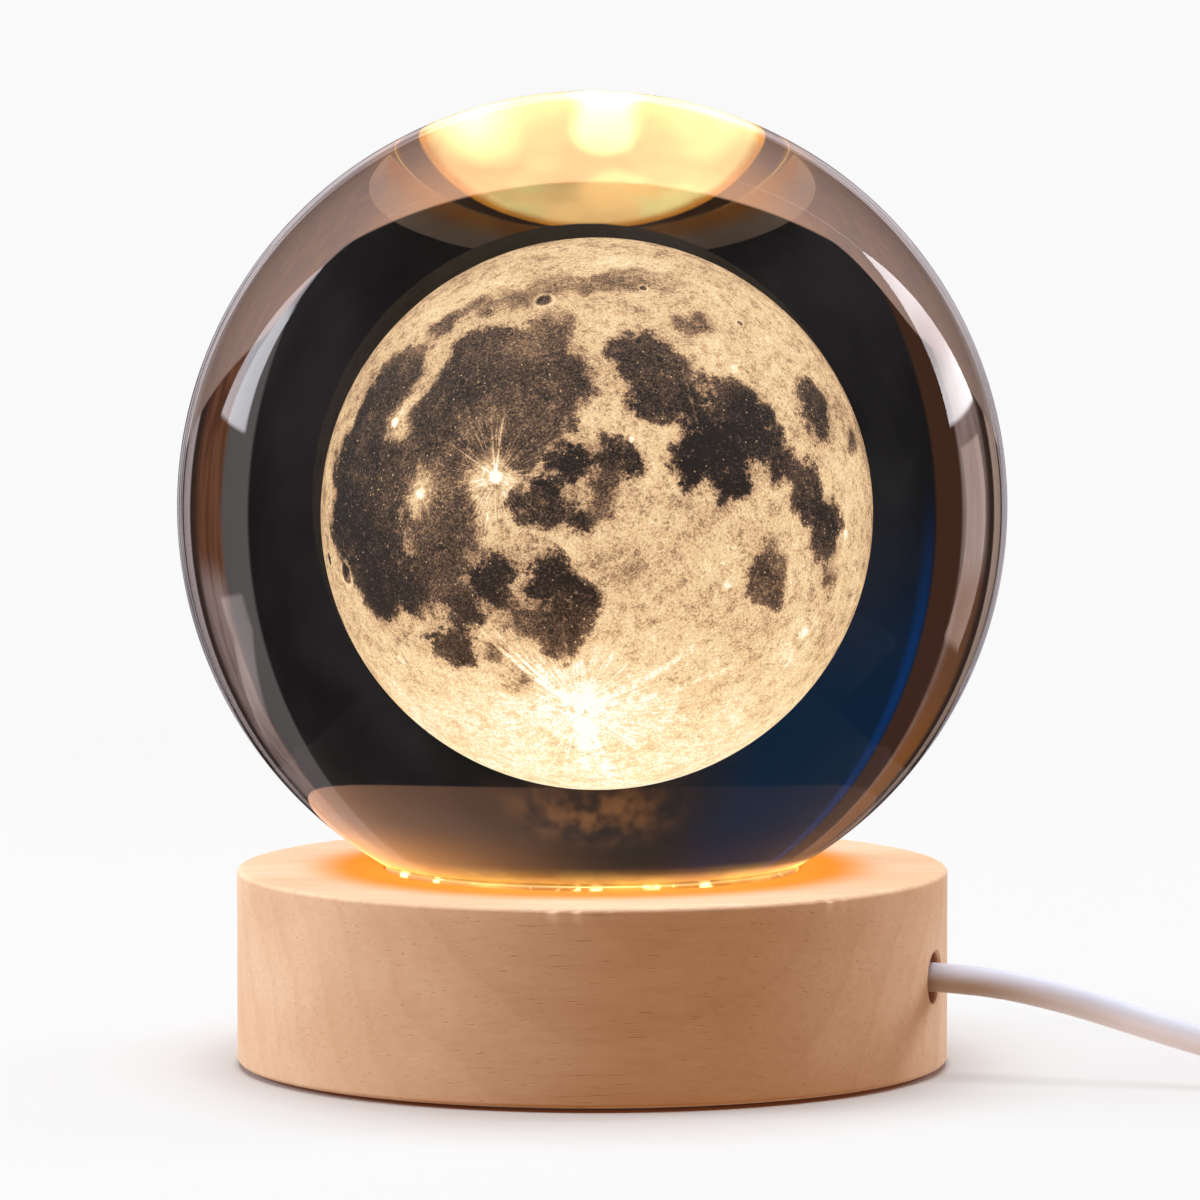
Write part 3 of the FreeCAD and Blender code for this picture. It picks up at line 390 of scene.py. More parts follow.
def hood_lining():
    """Black, with painted highlights: a tall pointed white panel on either side and pale ones under it,
    and a painted reflection of the lit wooden top below.

    Only the inside shows: from outside it isn't there."""
    made = finish("hood_lining")
    unit, x, y, z, side, rise = directions(made)
    # Painted highlights: the white and pale panels and the streaky pale ring show only in the glass.
    width = (40.5 - rise).above(0.0) ** 0.75 * 0.62
    tall = rise.ease(11, 12.2)
    on_left = (side + 76.5).size()
    on_right = (side - 68.5).size()
    left_panel = (width - on_left).ease(-0.3, 0.3) * tall
    left_core = (width * 0.62 - (side + 78.6).size()).ease(-0.3, 0.3) * tall * rise.ease(34, 30)
    right_panel = (width * 1.25 - on_right).ease(-0.3, 0.3) * tall
    right_white = made.blend(rise.ease(16, 22) * rise.ease(31, 24), (5.0, 4.9, 5.1), (3.4, 3.2, 3.3))
    low_right = rise.ease(8.0, 7.2) * rise.ease(-22, -20) * on_right.ease(6.6, 6.0)
    low_left = rise.ease(-14, -15) * rise.ease(-38, -24) * on_left.ease(7.5, 5.0)
    streak = made.noise(unit.vector("MULTIPLY", (3, 40, 3)), 1.0, 2.0)
    ring = y.ease(0.700, 0.725) * y.ease(0.885, 0.850) * z.ease(-0.75, 0.20, 0.35, 1.0)
    # A painted reflection of the lit wooden top on the hood's floor ring: brighter to the left and amber
    # next to the ball.
    here = made.place(1.0)
    away = here.vector("LENGTH")
    lit = (hood_floor + 0.0002 - here.part("Z")).ease(0, 0.0001) * away.ease(0.0393, 0.0389)
    wood_reflection_paint = made.blend(away.ease(0.0345, 0.0285), (1.6, 0.82, 0.48), (2.9, 1.20, 0.40))
    wood_reflection_paint = made.blend(away.ease(0.0285, 0.0275), wood_reflection_paint, (3.4, 1.5, 0.16))
    fade = x.ease(0.10, -0.45, 0.10, 1.0).above(away.ease(0.0290, 0.0280))
    shine = made.glow(made.coats(
        (0.015, 0.013, 0.013), (left_panel, (2.7, 2.65, 2.9)), (left_core, (4.4, 4.4, 4.7)),
        (right_panel, right_white), (low_right, (1.15, 0.85, 0.75)), (low_left, (1.1, 0.95, 0.95)),
        (ring * streak.ease(0.30, 0.55), (0.80, 0.72, 0.78)), (lit * fade, wood_reflection_paint)))
    open_way = made.node("BsdfTransparent", {}, {"Color": (1, 1, 1, 1)})
    inside = made.node("NewGeometry", output="Backfacing")
    return made.show(made.node("MixShader", {}, {0: inside, 1: open_way, 2: shine}))


points, faces = dome(ball_middle[2], hood_radius, hood_floor, [hood_hole, hood_ring], 60, 128)
hood = put("dark_hood", points, faces, hood_lining())
for lining in (tent, hood):
    lining.visible_camera = lining.visible_diffuse = lining.visible_shadow = False
    lining.visible_volume_scatter = False
tent.visible_glossy = False
hood.visible_transmission = False

# ---------------------------------------------------------------- cable
# A 1.2 m USB cable, 2.8 mm thick, in white PVC. It leaves the hole in the base with a shallow arch
# down to the table; what the lamp doesn't need is wound into a coil of eleven turns in four layers.
cable_diameter = 2.8
outlet_way = math.radians(-17.0)
OUT = np.array([math.cos(outlet_way), math.sin(outlet_way), 0])
ASIDE = np.array([-OUT[1], OUT[0], 0])
UP = np.array([0, 0, 1.0])
outlet_out, outlet_up = 34.35, 9.5
cable_up, jacket_end = 9.8, 21.2
coil_up, coil_turns = 2.1, 11
coil_inner, coil_pitch, coil_step = 12.2, 3.3, 3.25
coil_outer = coil_inner + 2.5 * coil_pitch
coil_points_per_turn = 24
plug_place = np.array([119.8, 0, 3.9])
plug_way = math.radians(88.0)
PLUG = np.array([math.cos(plug_way), math.sin(plug_way), 0])


def spot(reach, aside, height, onward=OUT, beside=ASIDE):
    """Points by how far they are onward, which is along the hole unless told, to its left and up."""
    reach, aside, height = (value[..., None] for value in np.broadcast_arrays(reach, aside, height))
    return onward * reach + beside * aside + UP * height


coil_middle = spot(84.0, coil_outer, coil_up)


def coil_route():
    """The coil's points: its radius and height follow the turns, in and out, and climb half a turn."""
    turns = np.arange(0, coil_turns + 1e-6, 1 / coil_points_per_turn)
    knots = [0, 2.5, 3, 5.5, 6, 8.5, 9, coil_turns]
    last = coil_inner + 2 * coil_pitch
    radius = np.interp(turns, knots, [coil_outer, coil_inner, coil_inner, coil_outer, coil_outer,
                                      coil_inner, coil_inner, last])
    radius = radius * 2 / (1 + math.cos(math.pi / coil_points_per_turn))
    climb = np.interp(turns, knots, np.array([0, 0, 1, 1, 2, 2, 3, 3]) * coil_step)
    start = math.atan2(-ASIDE[1], -ASIDE[0])
    angle = start + 2 * math.pi * turns
    away = np.stack([np.cos(angle), np.sin(angle), 0 * angle], axis=-1)
    return coil_middle + away * radius[:, None] + UP * climb[:, None]


coil = coil_route()
coil_leaves = (coil[-1] - coil[-2]) / np.linalg.norm(coil[-1] - coil[-2])
coil_end = coil[-1] + coil_leaves * cable_diameter
cable_route = np.vstack([
    spot(jacket_end, 0, cable_up), spot(36.5, 0, cable_up), spot(46.5, 0, 8.3), spot(58.5, 0, 4.9),
    spot(70.5, 0, coil_up), coil[0] - OUT * cable_diameter, coil, coil_end,
    coil_end + coil_leaves * 11 - UP * 0.2, (106.5, -27.0, 8.8), (116.2, -19.0, 5.2),
    plug_place - PLUG * 9, plug_place])


def line(name, route):
    """One smooth NURBS line with these points, in millimetres, as its control points."""
    curve = bpy.data.curves.new(name, "CURVE")
    curve.dimensions = "3D"
    spline = curve.splines.new("NURBS")
    spline.points.add(len(route) - 1)
    ends = np.column_stack([np.asarray(route) * MM, np.ones(len(route))])
    spline.points.foreach_set("co", ends.ravel())
    spline.order_u = 3
    spline.use_endpoint_u = True
    curve.resolution_u = spline.resolution_u = 5
    return placed(name, curve)


def thicken(cord, diameter, roundness, material):
    """Gives a line a round section with closed ends."""
    cord.data.bevel_depth = diameter / 2 * MM
    cord.data.bevel_resolution = roundness
    cord.data.use_fill_caps = True
    cord.data.materials.append(material)


def pvc(name, colour, shade, roughness, table_light=0.0):
    """Soft PVC: faint mottling, and the slight waviness of an extruded jacket.

    The white table lights its lower side by so much, except close to the base."""
    made = finish(name)
    where = made.place()
    mottle = made.noise(where, 0.12, 3.0)
    grain = made.noise(where, 1.8, 2.0)
    tone = made.blend(mottle.ease(0.3, 0.7), shade, colour)
    gloss = grain.ease(0.3, 0.7, roughness - 0.05, roughness + 0.07)
    normal = made.bump(grain * 0.3 + made.noise(where, 0.35, 1.0), 0.00004)
    clear = where.part("X").ease(35, 52) * mottle.ease(0.1, 0.9, 0.9, 1.1)
    below = made.node("NewGeometry", output="Normal").part("Z").ease(0.85, -0.15)
    bounce = (clear * below).vector("MULTIPLY", (1.0, 0.90, 0.93))
    return made.surface(Base_Color=tone, Roughness=gloss, Normal=normal, Emission_Color=bounce,
                        Emission_Strength=table_light)


cable = line("usb_cable", cable_route)
centreline = bpy.data.meshes.new_from_object(cable)
cable_line = np.array([vertex.co[:] for vertex in centreline.vertices]) / MM
bpy.data.meshes.remove(centreline)
white_jacket = pvc("white_jacket", (0.74, 0.66, 0.65), (0.69, 0.61, 0.60), 0.46, table_light=0.38)
thicken(cable, cable_diameter, 5, white_jacket)
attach(cable, "base")
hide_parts("cable_run", "cable_coil", "cable_tail")

# ---------------------------------------------------------------- coil tie
# A flat black plastic-coated tie bent round the coil's turns, its two ends twisted together.
tie_way = math.radians(120.0)
tie_width, tie_thickness, tie_gap = 3.0, 0.4, 0.15
twist_length, twist_turns, twist_radius = 9.0, 2.25, 0.78
AWAY = np.array([math.cos(tie_way), math.sin(tie_way), 0])
ALONG = np.array([-AWAY[1], AWAY[0], 0])


def rounded_loop(low, high, radius, steps):
    """A rectangle between two corners with rounded corners, as points and outward directions."""
    low, high = np.array(low), np.array(high)
    angle = np.linspace(0, math.pi / 2, steps)
    points, normals = [], []
    for k, (right, top) in enumerate(((1, 1), (0, 1), (0, 0), (1, 0))):
        turn = angle + k * math.pi / 2
        normal = np.stack([np.cos(turn), np.sin(turn)], axis=-1)
        corner = np.array([high[0] if right else low[0], high[1] if top else low[1]])
        inward = np.array([-1 if right else 1, -1 if top else 1]) * radius
        points.append(corner + inward + normal * radius)
        normals.append(normal)
    return np.vstack(points), np.vstack(normals)


def squared_off(values, power):
    """A circle's sine or cosine brought nearer to a square's, the more so the smaller the power."""
    return np.sign(values) * np.abs(values) ** power


def tie_band(low, high):
    """The band: the loop's points, each widened to a flat section with rounded edges."""
    loop, normal = rounded_loop(low, high, cable_diameter / 2, 9)
    around = circle(16)
    flat = squared_off(np.cos(around), 0.35) * tie_width / 2
    thick = np.sin(around) * tie_thickness / 2 + tie_thickness / 2
    reach = loop[:, None, :] + normal[:, None, :] * thick[None, :, None]
    rings = spot(reach[..., 0], flat, reach[..., 1], AWAY, ALONG)
    return wrapped(rings + coil_middle, closed=True)


def tie_twist(start, height):
    """The two ends as one flat strip twisted about its own line, closed at its tip."""
    gone = np.linspace(0, 1, 60)[:, None]
    around = circle(12)
    turn = around + gone * twist_turns * 2 * math.pi
    wide = twist_radius * np.sqrt(1 - np.clip(gone * 1.02 - 0.02, 0, 1) ** 12)
    lobe = 0.62 + 0.38 * np.cos(2 * around)
    radius = wide * lobe
    rings = spot(start + gone * twist_length, radius * np.cos(turn), height + radius * np.sin(turn),
                 AWAY, ALONG)
    tips = (spot(start + twist_length * share, 0, height, AWAY, ALONG) + coil_middle for share in (0, 1))
    return wrapped(rings + coil_middle, *tips)


near = cable_line - coil_middle
near = near[(np.abs(near @ ALONG) < tie_width / 2) & (near @ AWAY > 0) & (near @ AWAY < 30)]
margin = cable_diameter / 2 + tie_gap
tie_low = (near @ AWAY).min() - margin, near[:, 2].min() - margin
tie_high = (near @ AWAY).max() + margin, near[:, 2].max() + margin
band, band_faces = tie_band(tie_low, tie_high)
twist, twist_faces = tie_twist(tie_high[0] + tie_thickness / 2, (tie_low[1] + tie_high[1]) / 2)
faces = band_faces + [[corner + len(band) for corner in face] for face in twist_faces]


def tie_plastic():
    made = finish("black_tie")
    where = made.place()
    grain = made.noise(where, 3.0, 3.0)
    tone = made.blend(grain.ease(0.3, 0.7), (0.012, 0.012, 0.013), (0.028, 0.027, 0.028))
    return made.surface(Base_Color=tone, Roughness=grain.ease(0.2, 0.8, 0.35, 0.6),
                        Normal=made.bump(grain, 0.00003))


tie = put("coil_twist_tie", np.vstack([band, twist]) * MM, faces, tie_plastic(), crease=50)
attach(tie, "base")
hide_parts("coil_tie")

# ---------------------------------------------------------------- plug
# A USB type A plug. The strain relief and the grip are moulded over the cable in white PVC, the shell
# is folded nickel-plated steel, with a white tongue and four gold-plated contacts inside.
relief_length, relief_narrow, relief_wide = 9.0, 4.0, 6.0
groove_pitch, groove_depth, groove_start, groove_end = 1.8, 0.32, 0.7, 8.3
grip_length, grip_width, grip_thickness, grip_round, grip_square = 21.0, 15.6, 7.8, 1.4, 0.42
rib_pitch, rib_depth, rib_start, rib_end = 1.9, 0.16, 0.36, 0.78
BESIDE = np.array([-PLUG[1], PLUG[0], 0])


def along_plug(gone, aside, up):
    """Points of the plug's own frame, from where the cable ends."""
    return plug_place + spot(gone, aside, up, PLUG, BESIDE)


def strain_relief():
    """A cone turned about the cable, with five grooves cut round it."""
    gone = np.linspace(0, relief_length, 91)
    radius = relief_narrow / 2 + (relief_wide - relief_narrow) / 2 * gone / relief_length
    groove = np.cos(2 * math.pi * (gone - groove_pitch / 2) / groove_pitch)
    depth = groove_depth * np.clip(groove * 2.2 - 0.8, 0, 1)
    depth = depth * (gone > groove_start) * (gone < groove_end)
    radius = (radius - depth)[:, None]
    turn = circle(48)
    rings = along_plug(gone[:, None], radius * np.cos(turn), radius * np.sin(turn))
    return wrapped(rings, along_plug(0, 0, 0), along_plug(relief_length, 0, 0))


def grip():
    """Rounded rectangles, drawn in at both ends, with shallow finger ribs across the middle."""
    share = (1 - np.cos(np.linspace(0, math.pi, 121))) / 2
    gone = relief_length + grip_length * share
    end = np.minimum(share, 1 - share) * grip_length
    soft = np.sqrt(np.clip(1 - (1 - np.clip(end / grip_round, 0, 1)) ** 2, 0, 1))
    shoulder = np.clip(share / 0.3, 0, 1)
    waist = 0.80 + 0.20 * shoulder * shoulder * (3 - 2 * shoulder)
    ribs = rib_depth * np.clip(np.sin(2 * math.pi * (gone - relief_length) / rib_pitch), 0, 1)
    ribs = ribs * (share > rib_start) * (share < rib_end)
    inset = grip_round * (1 - soft)
    wide = (grip_width / 2 * waist - inset)[:, None]
    thick = (grip_thickness / 2 * (0.88 + 0.12 * shoulder) - inset * 0.8 - ribs)[:, None]
    turn = circle(96)
    rings = along_plug(gone[:, None], wide * squared_off(np.cos(turn), grip_square),
                       thick * squared_off(np.sin(turn), grip_square))
    return wrapped(rings, along_plug(gone[0], 0, 0), along_plug(gone[-1], 0, 0))


plug_grip_white = pvc("plug_white", (0.68, 0.65, 0.65), (0.64, 0.61, 0.61), 0.46, table_light=0.22)
for name, made, node, slot, material in (
        ("moulded_strain_relief", strain_relief(), "plug_strain_relief", "cable_jacket", white_jacket),
        ("moulded_grip", grip(), "plug_grip", "plug_plastic", plug_grip_white)):
    piece = put(name, made[0] * MM, made[1], material, crease=55)
    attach(piece, "base")
    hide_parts(node)


def dress(name, material):
    """Gives a node of the model its finish."""
    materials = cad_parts[name].data.materials
    materials.clear()
    materials.append(material)


def metal(name, colour, shade, roughness, brush=(1, 1, 1)):
    """Plated metal: fine scratches along one way, and cloudy gloss."""
    made = finish(name)
    where = made.place(scale=tuple(1000.0 * share for share in brush))
    scratch = made.noise(where, 2.5, 3.0)
    cloud = made.noise(made.place(), 0.5, 2.0)
    tone = made.blend(cloud.ease(0.3, 0.7), shade, colour)
    gloss = scratch.ease(0.25, 0.75, roughness - 0.06, roughness + 0.10)
    return made.surface(Base_Color=tone, Metallic=1.0, Roughness=gloss,
                        Normal=made.bump(scratch, 0.00001))


def smooth_stuff(name, colour, shade, roughness, grain=2.0, depth=0.00002):
    """A hard moulded or lacquered surface: faint clouds and fine grain."""
    made = finish(name)
    where = made.place()
    fine = made.noise(where, grain, 3.0)
    cloud = made.noise(where, 0.3, 2.0)
    tone = made.blend((cloud * 0.6 + fine * 0.4).ease(0.3, 0.7), shade, colour)
    gloss = fine.ease(0.25, 0.75, roughness - 0.06, roughness + 0.08)
    return made.surface(Base_Color=tone, Roughness=gloss, Normal=made.bump(fine, depth))


dress("plug_shell", metal("plug_nickel", (0.74, 0.72, 0.69), (0.62, 0.60, 0.58), 0.24, (1, 0.1, 1)))
dress("plug_tongue", smooth_stuff("tongue_white", (0.86, 0.86, 0.84), (0.80, 0.80, 0.78), 0.40))
dress("plug_contacts", metal("contact_gold", (0.90, 0.66, 0.28), (0.78, 0.55, 0.22), 0.20))
tuple(spot(outlet_out, 0, cable_up) * MM)

# ---------------------------------------------------------------- wooden base
# A disc of beech turned on a lathe, its rims just broken with sandpaper. The plank's grain runs from
# left to right, so its front shows short brown flecks and its two ends show pores and year rings.
base_radius, base_foot, base_top = outlet_out, 0.4, 19.1
rim_round = 0.45
washer_seat, well_radius, hollow_radius = 20.15, 16.0, 25.0
ledge_up, ceiling_up, cover_top = 18.4, 12.3, 3.0
cover_recess, pad_recess, pad_thickness = 30.65, 32.15, 1.0
outlet_radius, outlet_bevel, drill_start, drill_end = 2.5, 0.25, 22.0, 36.0
nick_inset, nick_width, nick_depth = 0.2, 0.3, 0.08
# The ball's painted light and shadow on the wood's top: where it ends outwards, and where it is full.
ball_light_outer, ball_light_inner = 29.5, 23.0


def profile_of(corners, spacing):
    """A closed outline through corners (across, up, rounding), with points at about this spacing."""
    places = np.array([corner[:2] for corner in corners], dtype=float)
    made = []
    for k, (*_, rounding) in enumerate(corners):
        here, following = places[k], (k + 1) % len(places)
        before, after = places[k - 1] - here, places[following] - here
        to_before, to_after = before / np.linalg.norm(before), after / np.linalg.norm(after)
        if rounding:
            turn = np.linspace(0, math.pi / 2, 9)[:, None]
            centre = here + (to_before + to_after) * rounding
            made.append(centre - to_after * rounding * np.cos(turn) - to_before * rounding * np.sin(turn))
        else:
            made.append(here[None])
        start = made[-1][-1]
        end = places[following] - to_after * corners[following][2]
        steps = max(1, int(round(np.linalg.norm(end - start) / spacing)))
        made.append(start + (end - start) * (np.arange(1, steps) / steps)[:, None])
    return np.vstack(made)


def waves(points, length, count, seed):
    """Smooth noise of about unit size: the sum of cosines along seeded directions."""
    draw = np.random.default_rng(seed)
    ways = draw.normal(size=(count, points.shape[-1]))
    ways *= (2 * math.pi / length) * draw.uniform(0.6, 1.5, (count, 1)) / np.linalg.norm(
        ways, axis=1, keepdims=True)
    phases = draw.uniform(0, 2 * math.pi, count)
    return np.cos(points @ ways.T + phases).sum(axis=-1) * math.sqrt(2 / count)


def turned_base():
    """The outline turned about the lamp's axis. The tool's chatter nicks the rounded top rim."""
    outline = profile_of((
        (pad_recess, base_foot, 0), (base_radius, base_foot, rim_round),
        (base_radius, base_top, rim_round), (washer_seat, base_top, 0.12), (washer_seat, ledge_up, 0),
        (well_radius, ledge_up, 0), (well_radius, ceiling_up, 0), (hollow_radius, ceiling_up, 0),
        (hollow_radius, cover_top, 0), (cover_recess, cover_top, 0), (cover_recess, pad_thickness, 0),
        (pad_recess, pad_thickness, 0)), 1.3)
    across, up = outline[:, :1], outline[:, 1:]
    turn = circle(640)
    ring = np.stack([np.cos(turn), np.sin(turn)], axis=-1) * base_radius
    nick = np.clip(waves(ring, 2.2, 24, 5) - 0.4, 0, 2) * np.clip(waves(ring, 14, 16, 6) + 0.3, 0, 1.5)
    rim = np.exp(-(((across - base_radius + nick_inset) / nick_width) ** 2)
                 - ((up - base_top + nick_inset) / nick_width) ** 2)
    worn = nick_depth * nick * rim
    return wrapped(turned(across - worn, up - worn, len(turn))[::-1], closed=True)


def beech():
    """Sanded beech: broad clouds, tilted year rings, short flecks and fine pores along the grain."""
    made = finish("sanded_beech")

    def drawn_out(scale, detail, roughness=0.5, turn=(0, 0, 0)):
        """Noise drawn out along the grain, by its scale along it and across it."""
        return made.noise(made.place(turn=turn, scale=scale), 1.0, detail, roughness)

    rings = made.place(turn=(24, 0, -8)).part("Y") * 0.24 + drawn_out((25.0, 60.0, 60.0), 2.0) * 2.2
    year = rings.maths("FRACT")
    late = year.ease(0.55, 0.97) * year.ease(1.0, 0.97)
    cloud = drawn_out((30.0, 70.0, 70.0), 3.0)
    fleck = drawn_out((190.0, 2300.0, 5000.0), 1.0, 0.4, turn=(10, 0, -4)).ease(0.66, 0.78)
    pore = drawn_out((600.0, 5200.0, 5200.0), 1.0, turn=(10, 0, -4)).ease(0.66, 0.76)
    fibre = drawn_out((90.0, 1500.0, 1500.0), 3.0)
    reach, z = made.place().reach(), made.place().part("Z")
    # Painted light and shadow: the wood's top round the ball is tinted amber, for the ball's glow on it and
    # its shadow.
    ball_light_paint = reach.ease(ball_light_outer, ball_light_inner) * z.ease(base_top - 0.6, base_top - 0.1)
    # Painted shade: the wood inside the hole and the hollow is darkened.
    inside = reach.ease(base_radius - 0.1, base_radius - 0.6) * z.ease(base_top - 2.0, base_top - 4.0)
    tone = made.coats(
        made.blend(cloud.ease(0.3, 0.7), (0.83, 0.460, 0.245), (0.93, 0.565, 0.330)),
        (late * 0.15, (0.66, 0.32, 0.15)), (fibre.ease(0.35, 0.75) * 0.18, (0.66, 0.32, 0.16)),
        (pore * 0.18, (0.42, 0.20, 0.10)), (fleck * 0.34, (0.45, 0.20, 0.09)),
        (ball_light_paint * 0.96, (0.84, 0.225, 0.008)), (inside * 0.92, (0.42, 0.13, 0.045)))
    height = fibre * 0.4 - fleck * 0.6 - pore * 0.4
    return made.surface(Base_Color=tone, Roughness=fibre.ease(0.2, 0.8, 0.50, 0.62),
                        Specular_IOR_Level=0.35, Normal=made.bump(height, 0.00005, 0.6))


points, faces = turned_base()
base = put("turned_beech_base", points * MM, faces, beech())


def drilled(piece, tool_points, tool_faces):
    """Cuts a tool's shape out of a piece, and keeps the result as the piece's own mesh."""
    tool = put("drill", tool_points * MM, tool_faces, piece.data.materials[0])
    cut = piece.modifiers.new("hole", "BOOLEAN")
    cut.object, cut.operation, cut.solver = tool, "DIFFERENCE", "EXACT"
    bpy.context.view_layer.update()
    seen = piece.evaluated_get(bpy.context.evaluated_depsgraph_get())
    mesh = bpy.data.meshes.new_from_object(seen)
    piece.modifiers.clear()
    piece.data = mesh
    bpy.data.objects.remove(tool)


def round_tool(start, end, radius, up, mouth):
    """A rod along the hole's direction that opens a little at the mouth, to break its edge."""
    gone = np.array([start, mouth - outlet_bevel, mouth, end])
    wide = radius + np.array([0, 0, outlet_bevel, outlet_bevel + (end - mouth)])
    turn, gone, wide = circle(72), gone[:, None], wide[:, None]
    rings = spot(gone, wide * np.cos(turn), up + wide * np.sin(turn))
    return wrapped(rings, spot(start, 0, up), spot(end, 0, up))


drilled(base, *round_tool(drill_start, drill_end, outlet_radius, outlet_up, base_radius))
base.data.shade_smooth()
base.data.set_sharp_from_angle(angle=math.radians(35))
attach(base, "base")
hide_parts("wooden_base")

# ---------------------------------------------------------------- underside
# A disc of black foam, glued on so that the lamp doesn't slide, under a black plastic cover that
# three countersunk screws hold over the hollow.
pad_radius = 32.0


def foam_disc():
    """A flat disc whose cut edge bulges a little, the same above and below its middle."""
    inset = np.array([22, 12, 4, 0.8, 0.25, 0.05, 0])
    low = np.array([0, 0, 0, 0, 0.06, 0.25, 0.5])
    across = pad_radius - np.concatenate([inset, inset[-2::-1]])
    up = pad_thickness * np.concatenate([low, 1 - low[-2::-1]])
    return wrapped(turned(across, up, 256), (0, 0, 0), (0, 0, pad_thickness))


def foam():
    made = finish("black_foam")
    cells = made.cells(made.place(), 3.2)
    tone = made.blend(cells.ease(0.1, 0.7), (0.010, 0.009, 0.008), (0.034, 0.028, 0.024))
    return made.surface(Base_Color=tone, Roughness=cells.ease(0, 0.8, 0.95, 0.8),
                        Normal=made.bump(cells, 0.00012))


points, faces = foam_disc()
pad = put("foam_foot", points * MM, faces, foam(), crease=40)
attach(pad, "base")
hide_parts("base_pad")
dress("bottom_cover", smooth_stuff("cover_black", (0.045, 0.043, 0.042), (0.030, 0.029, 0.028), 0.55,
                                   grain=1.2, depth=0.00006))
screw_zinc = metal("screw_zinc", (0.66, 0.64, 0.58), (0.52, 0.50, 0.45), 0.30)
dress("cover_screws", screw_zinc)

# ---------------------------------------------------------------- lights in the base
# Eight warm white diodes in a ring on a round white circuit board, with their resistors. The board is
# screwed up against the ceiling of the hollow, so that it shines up through the well.
diode_circle = 11.5


def lit_board():
    """White lacquer, lit: brightest under the diodes, peach in the middle, dark outside the well."""
    made = finish("board_lacquer")
    where = made.place()
    away, z = where.reach(), where.part("Z")
    ring = (away - diode_circle).size().ease(7.5, 0.0)
    uneven = made.noise(where, 0.16, 2.0).ease(0.3, 0.7, 0.75, 1.15)
    inside = away.ease(well_radius + 0.2, well_radius - 0.2) * z.ease(ceiling_up - 0.1, ceiling_up - 0.01)
    fine = made.noise(where, 1.5, 3.0)
    colour = made.blend(ring * uneven, (1.0, 0.50, 0.24), (1.0, 0.70, 0.26))
    shine = colour.vector("MULTIPLY", inside * (ring * 0.9 + 0.5) * uneven)
    tone = made.blend(fine.ease(0.3, 0.7), (0.78, 0.78, 0.74), (0.86, 0.86, 0.82))
    return made.surface(Base_Color=tone, Roughness=fine.ease(0.2, 0.8, 0.22, 0.34), Emission_Color=shine,
                        Emission_Strength=14.0)


def lit_phosphor():
    made = finish("lit_phosphor")
    fine = made.noise(made.place(), 3.0, 2.0)
    glow = made.blend(fine.ease(0.3, 0.7), (1.0, 0.76, 0.36), (1.0, 0.86, 0.52))
    return made.surface(Base_Color=glow, Roughness=0.35, Emission_Color=glow, Emission_Strength=90.0)


dress("led_board", lit_board())
dress("led_phosphors", lit_phosphor())
dress("leds", smooth_stuff("diode_white", (0.88, 0.86, 0.80), (0.80, 0.78, 0.72), 0.35))
dress("resistors", smooth_stuff("resistor_black", (0.045, 0.045, 0.050), (0.022, 0.022, 0.026), 0.40, 4.0))
dress("board_screws", screw_zinc)
dress("solder_joints", metal("solder_tin", (0.78, 0.78, 0.80), (0.62, 0.62, 0.64), 0.26))
dress("cable_clamp", smooth_stuff("tie_nylon", (0.82, 0.81, 0.76), (0.74, 0.73, 0.68), 0.42))
lead_diameter, lead_aside, lead_straight = 1.0, 0.7, 3.7
lead_bow, lead_dip, lead_rise = 2.85, 3.8, 2.8
solder_reach, solder_aside, solder_low = 12.0, 2.4, 10.0
red_pvc = pvc("red_wire", (0.62, 0.025, 0.020), (0.48, 0.018, 0.015), 0.34)
black_pvc = pvc("black_wire", (0.030, 0.030, 0.032), (0.016, 0.016, 0.018), 0.34)
for side, name, node, slot, insulation in ((1, "red_wire", "lead_red", "red_insulation", red_pvc),
                                           (-1, "black_wire", "lead_black", "black_insulation", black_pvc)):
    wire = line(name, np.vstack([
        spot(jacket_end, side * lead_aside, cable_up),
        spot(jacket_end - lead_straight, side * lead_aside, cable_up),
        spot(solder_reach + lead_bow, side * (solder_aside + lead_aside) / 2, solder_low - lead_dip),
        spot(solder_reach, side * solder_aside, solder_low - lead_rise),
        spot(solder_reach, side * solder_aside, solder_low)]))
    wire.data.resolution_u = wire.data.splines[0].resolution_u = 12
    thicken(wire, lead_diameter, 4, insulation)
    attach(wire, "base")
    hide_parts(node)

# ---------------------------------------------------------------- washer
# A ring of clear silicone in a step round the well. The ball stands on it, and it carries the light
# of the diodes out to its rim, where it shows as a thin gold line with brighter dots.
washer_outer, washer_inner, washer_foot, washer_top = 20.0, 17.0, 18.4, 19.39
washer_round = 0.15


def washer():
    """A flat band with slightly rounded edges, turned about the lamp's axis."""
    corners = ((washer_inner, washer_foot), (washer_outer, washer_foot),
               (washer_outer, washer_top), (washer_inner, washer_top))
    outline = profile_of([(*corner, washer_round) for corner in corners], 0.4)
    return wrapped(turned(outline[:, 0], outline[:, 1], 320)[::-1], closed=True)


def lit_silicone():
    made = finish("lit_silicone")
    where = made.place()
    spots = made.noise(where, 0.40, 2.0, 0.6).ease(0.56, 0.66)
    cloud = made.noise(where, 0.14, 2.0).ease(0.35, 0.65)
    glow = made.blend(cloud, (0.42, 0.15, 0.008), (1.0, 0.50, 0.055))
    glow = made.blend(spots, glow, (3.4, 2.5, 0.90))
    base = made.blend(cloud, (0.40, 0.24, 0.10), (0.50, 0.32, 0.14))
    return made.surface(Base_Color=base, Roughness=0.35, Emission_Color=glow, Emission_Strength=0.80)


points, faces = washer()
ring = put("silicone_washer", points * MM, faces, lit_silicone(), crease=40)
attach(ring, "washer")
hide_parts("seat_washer")

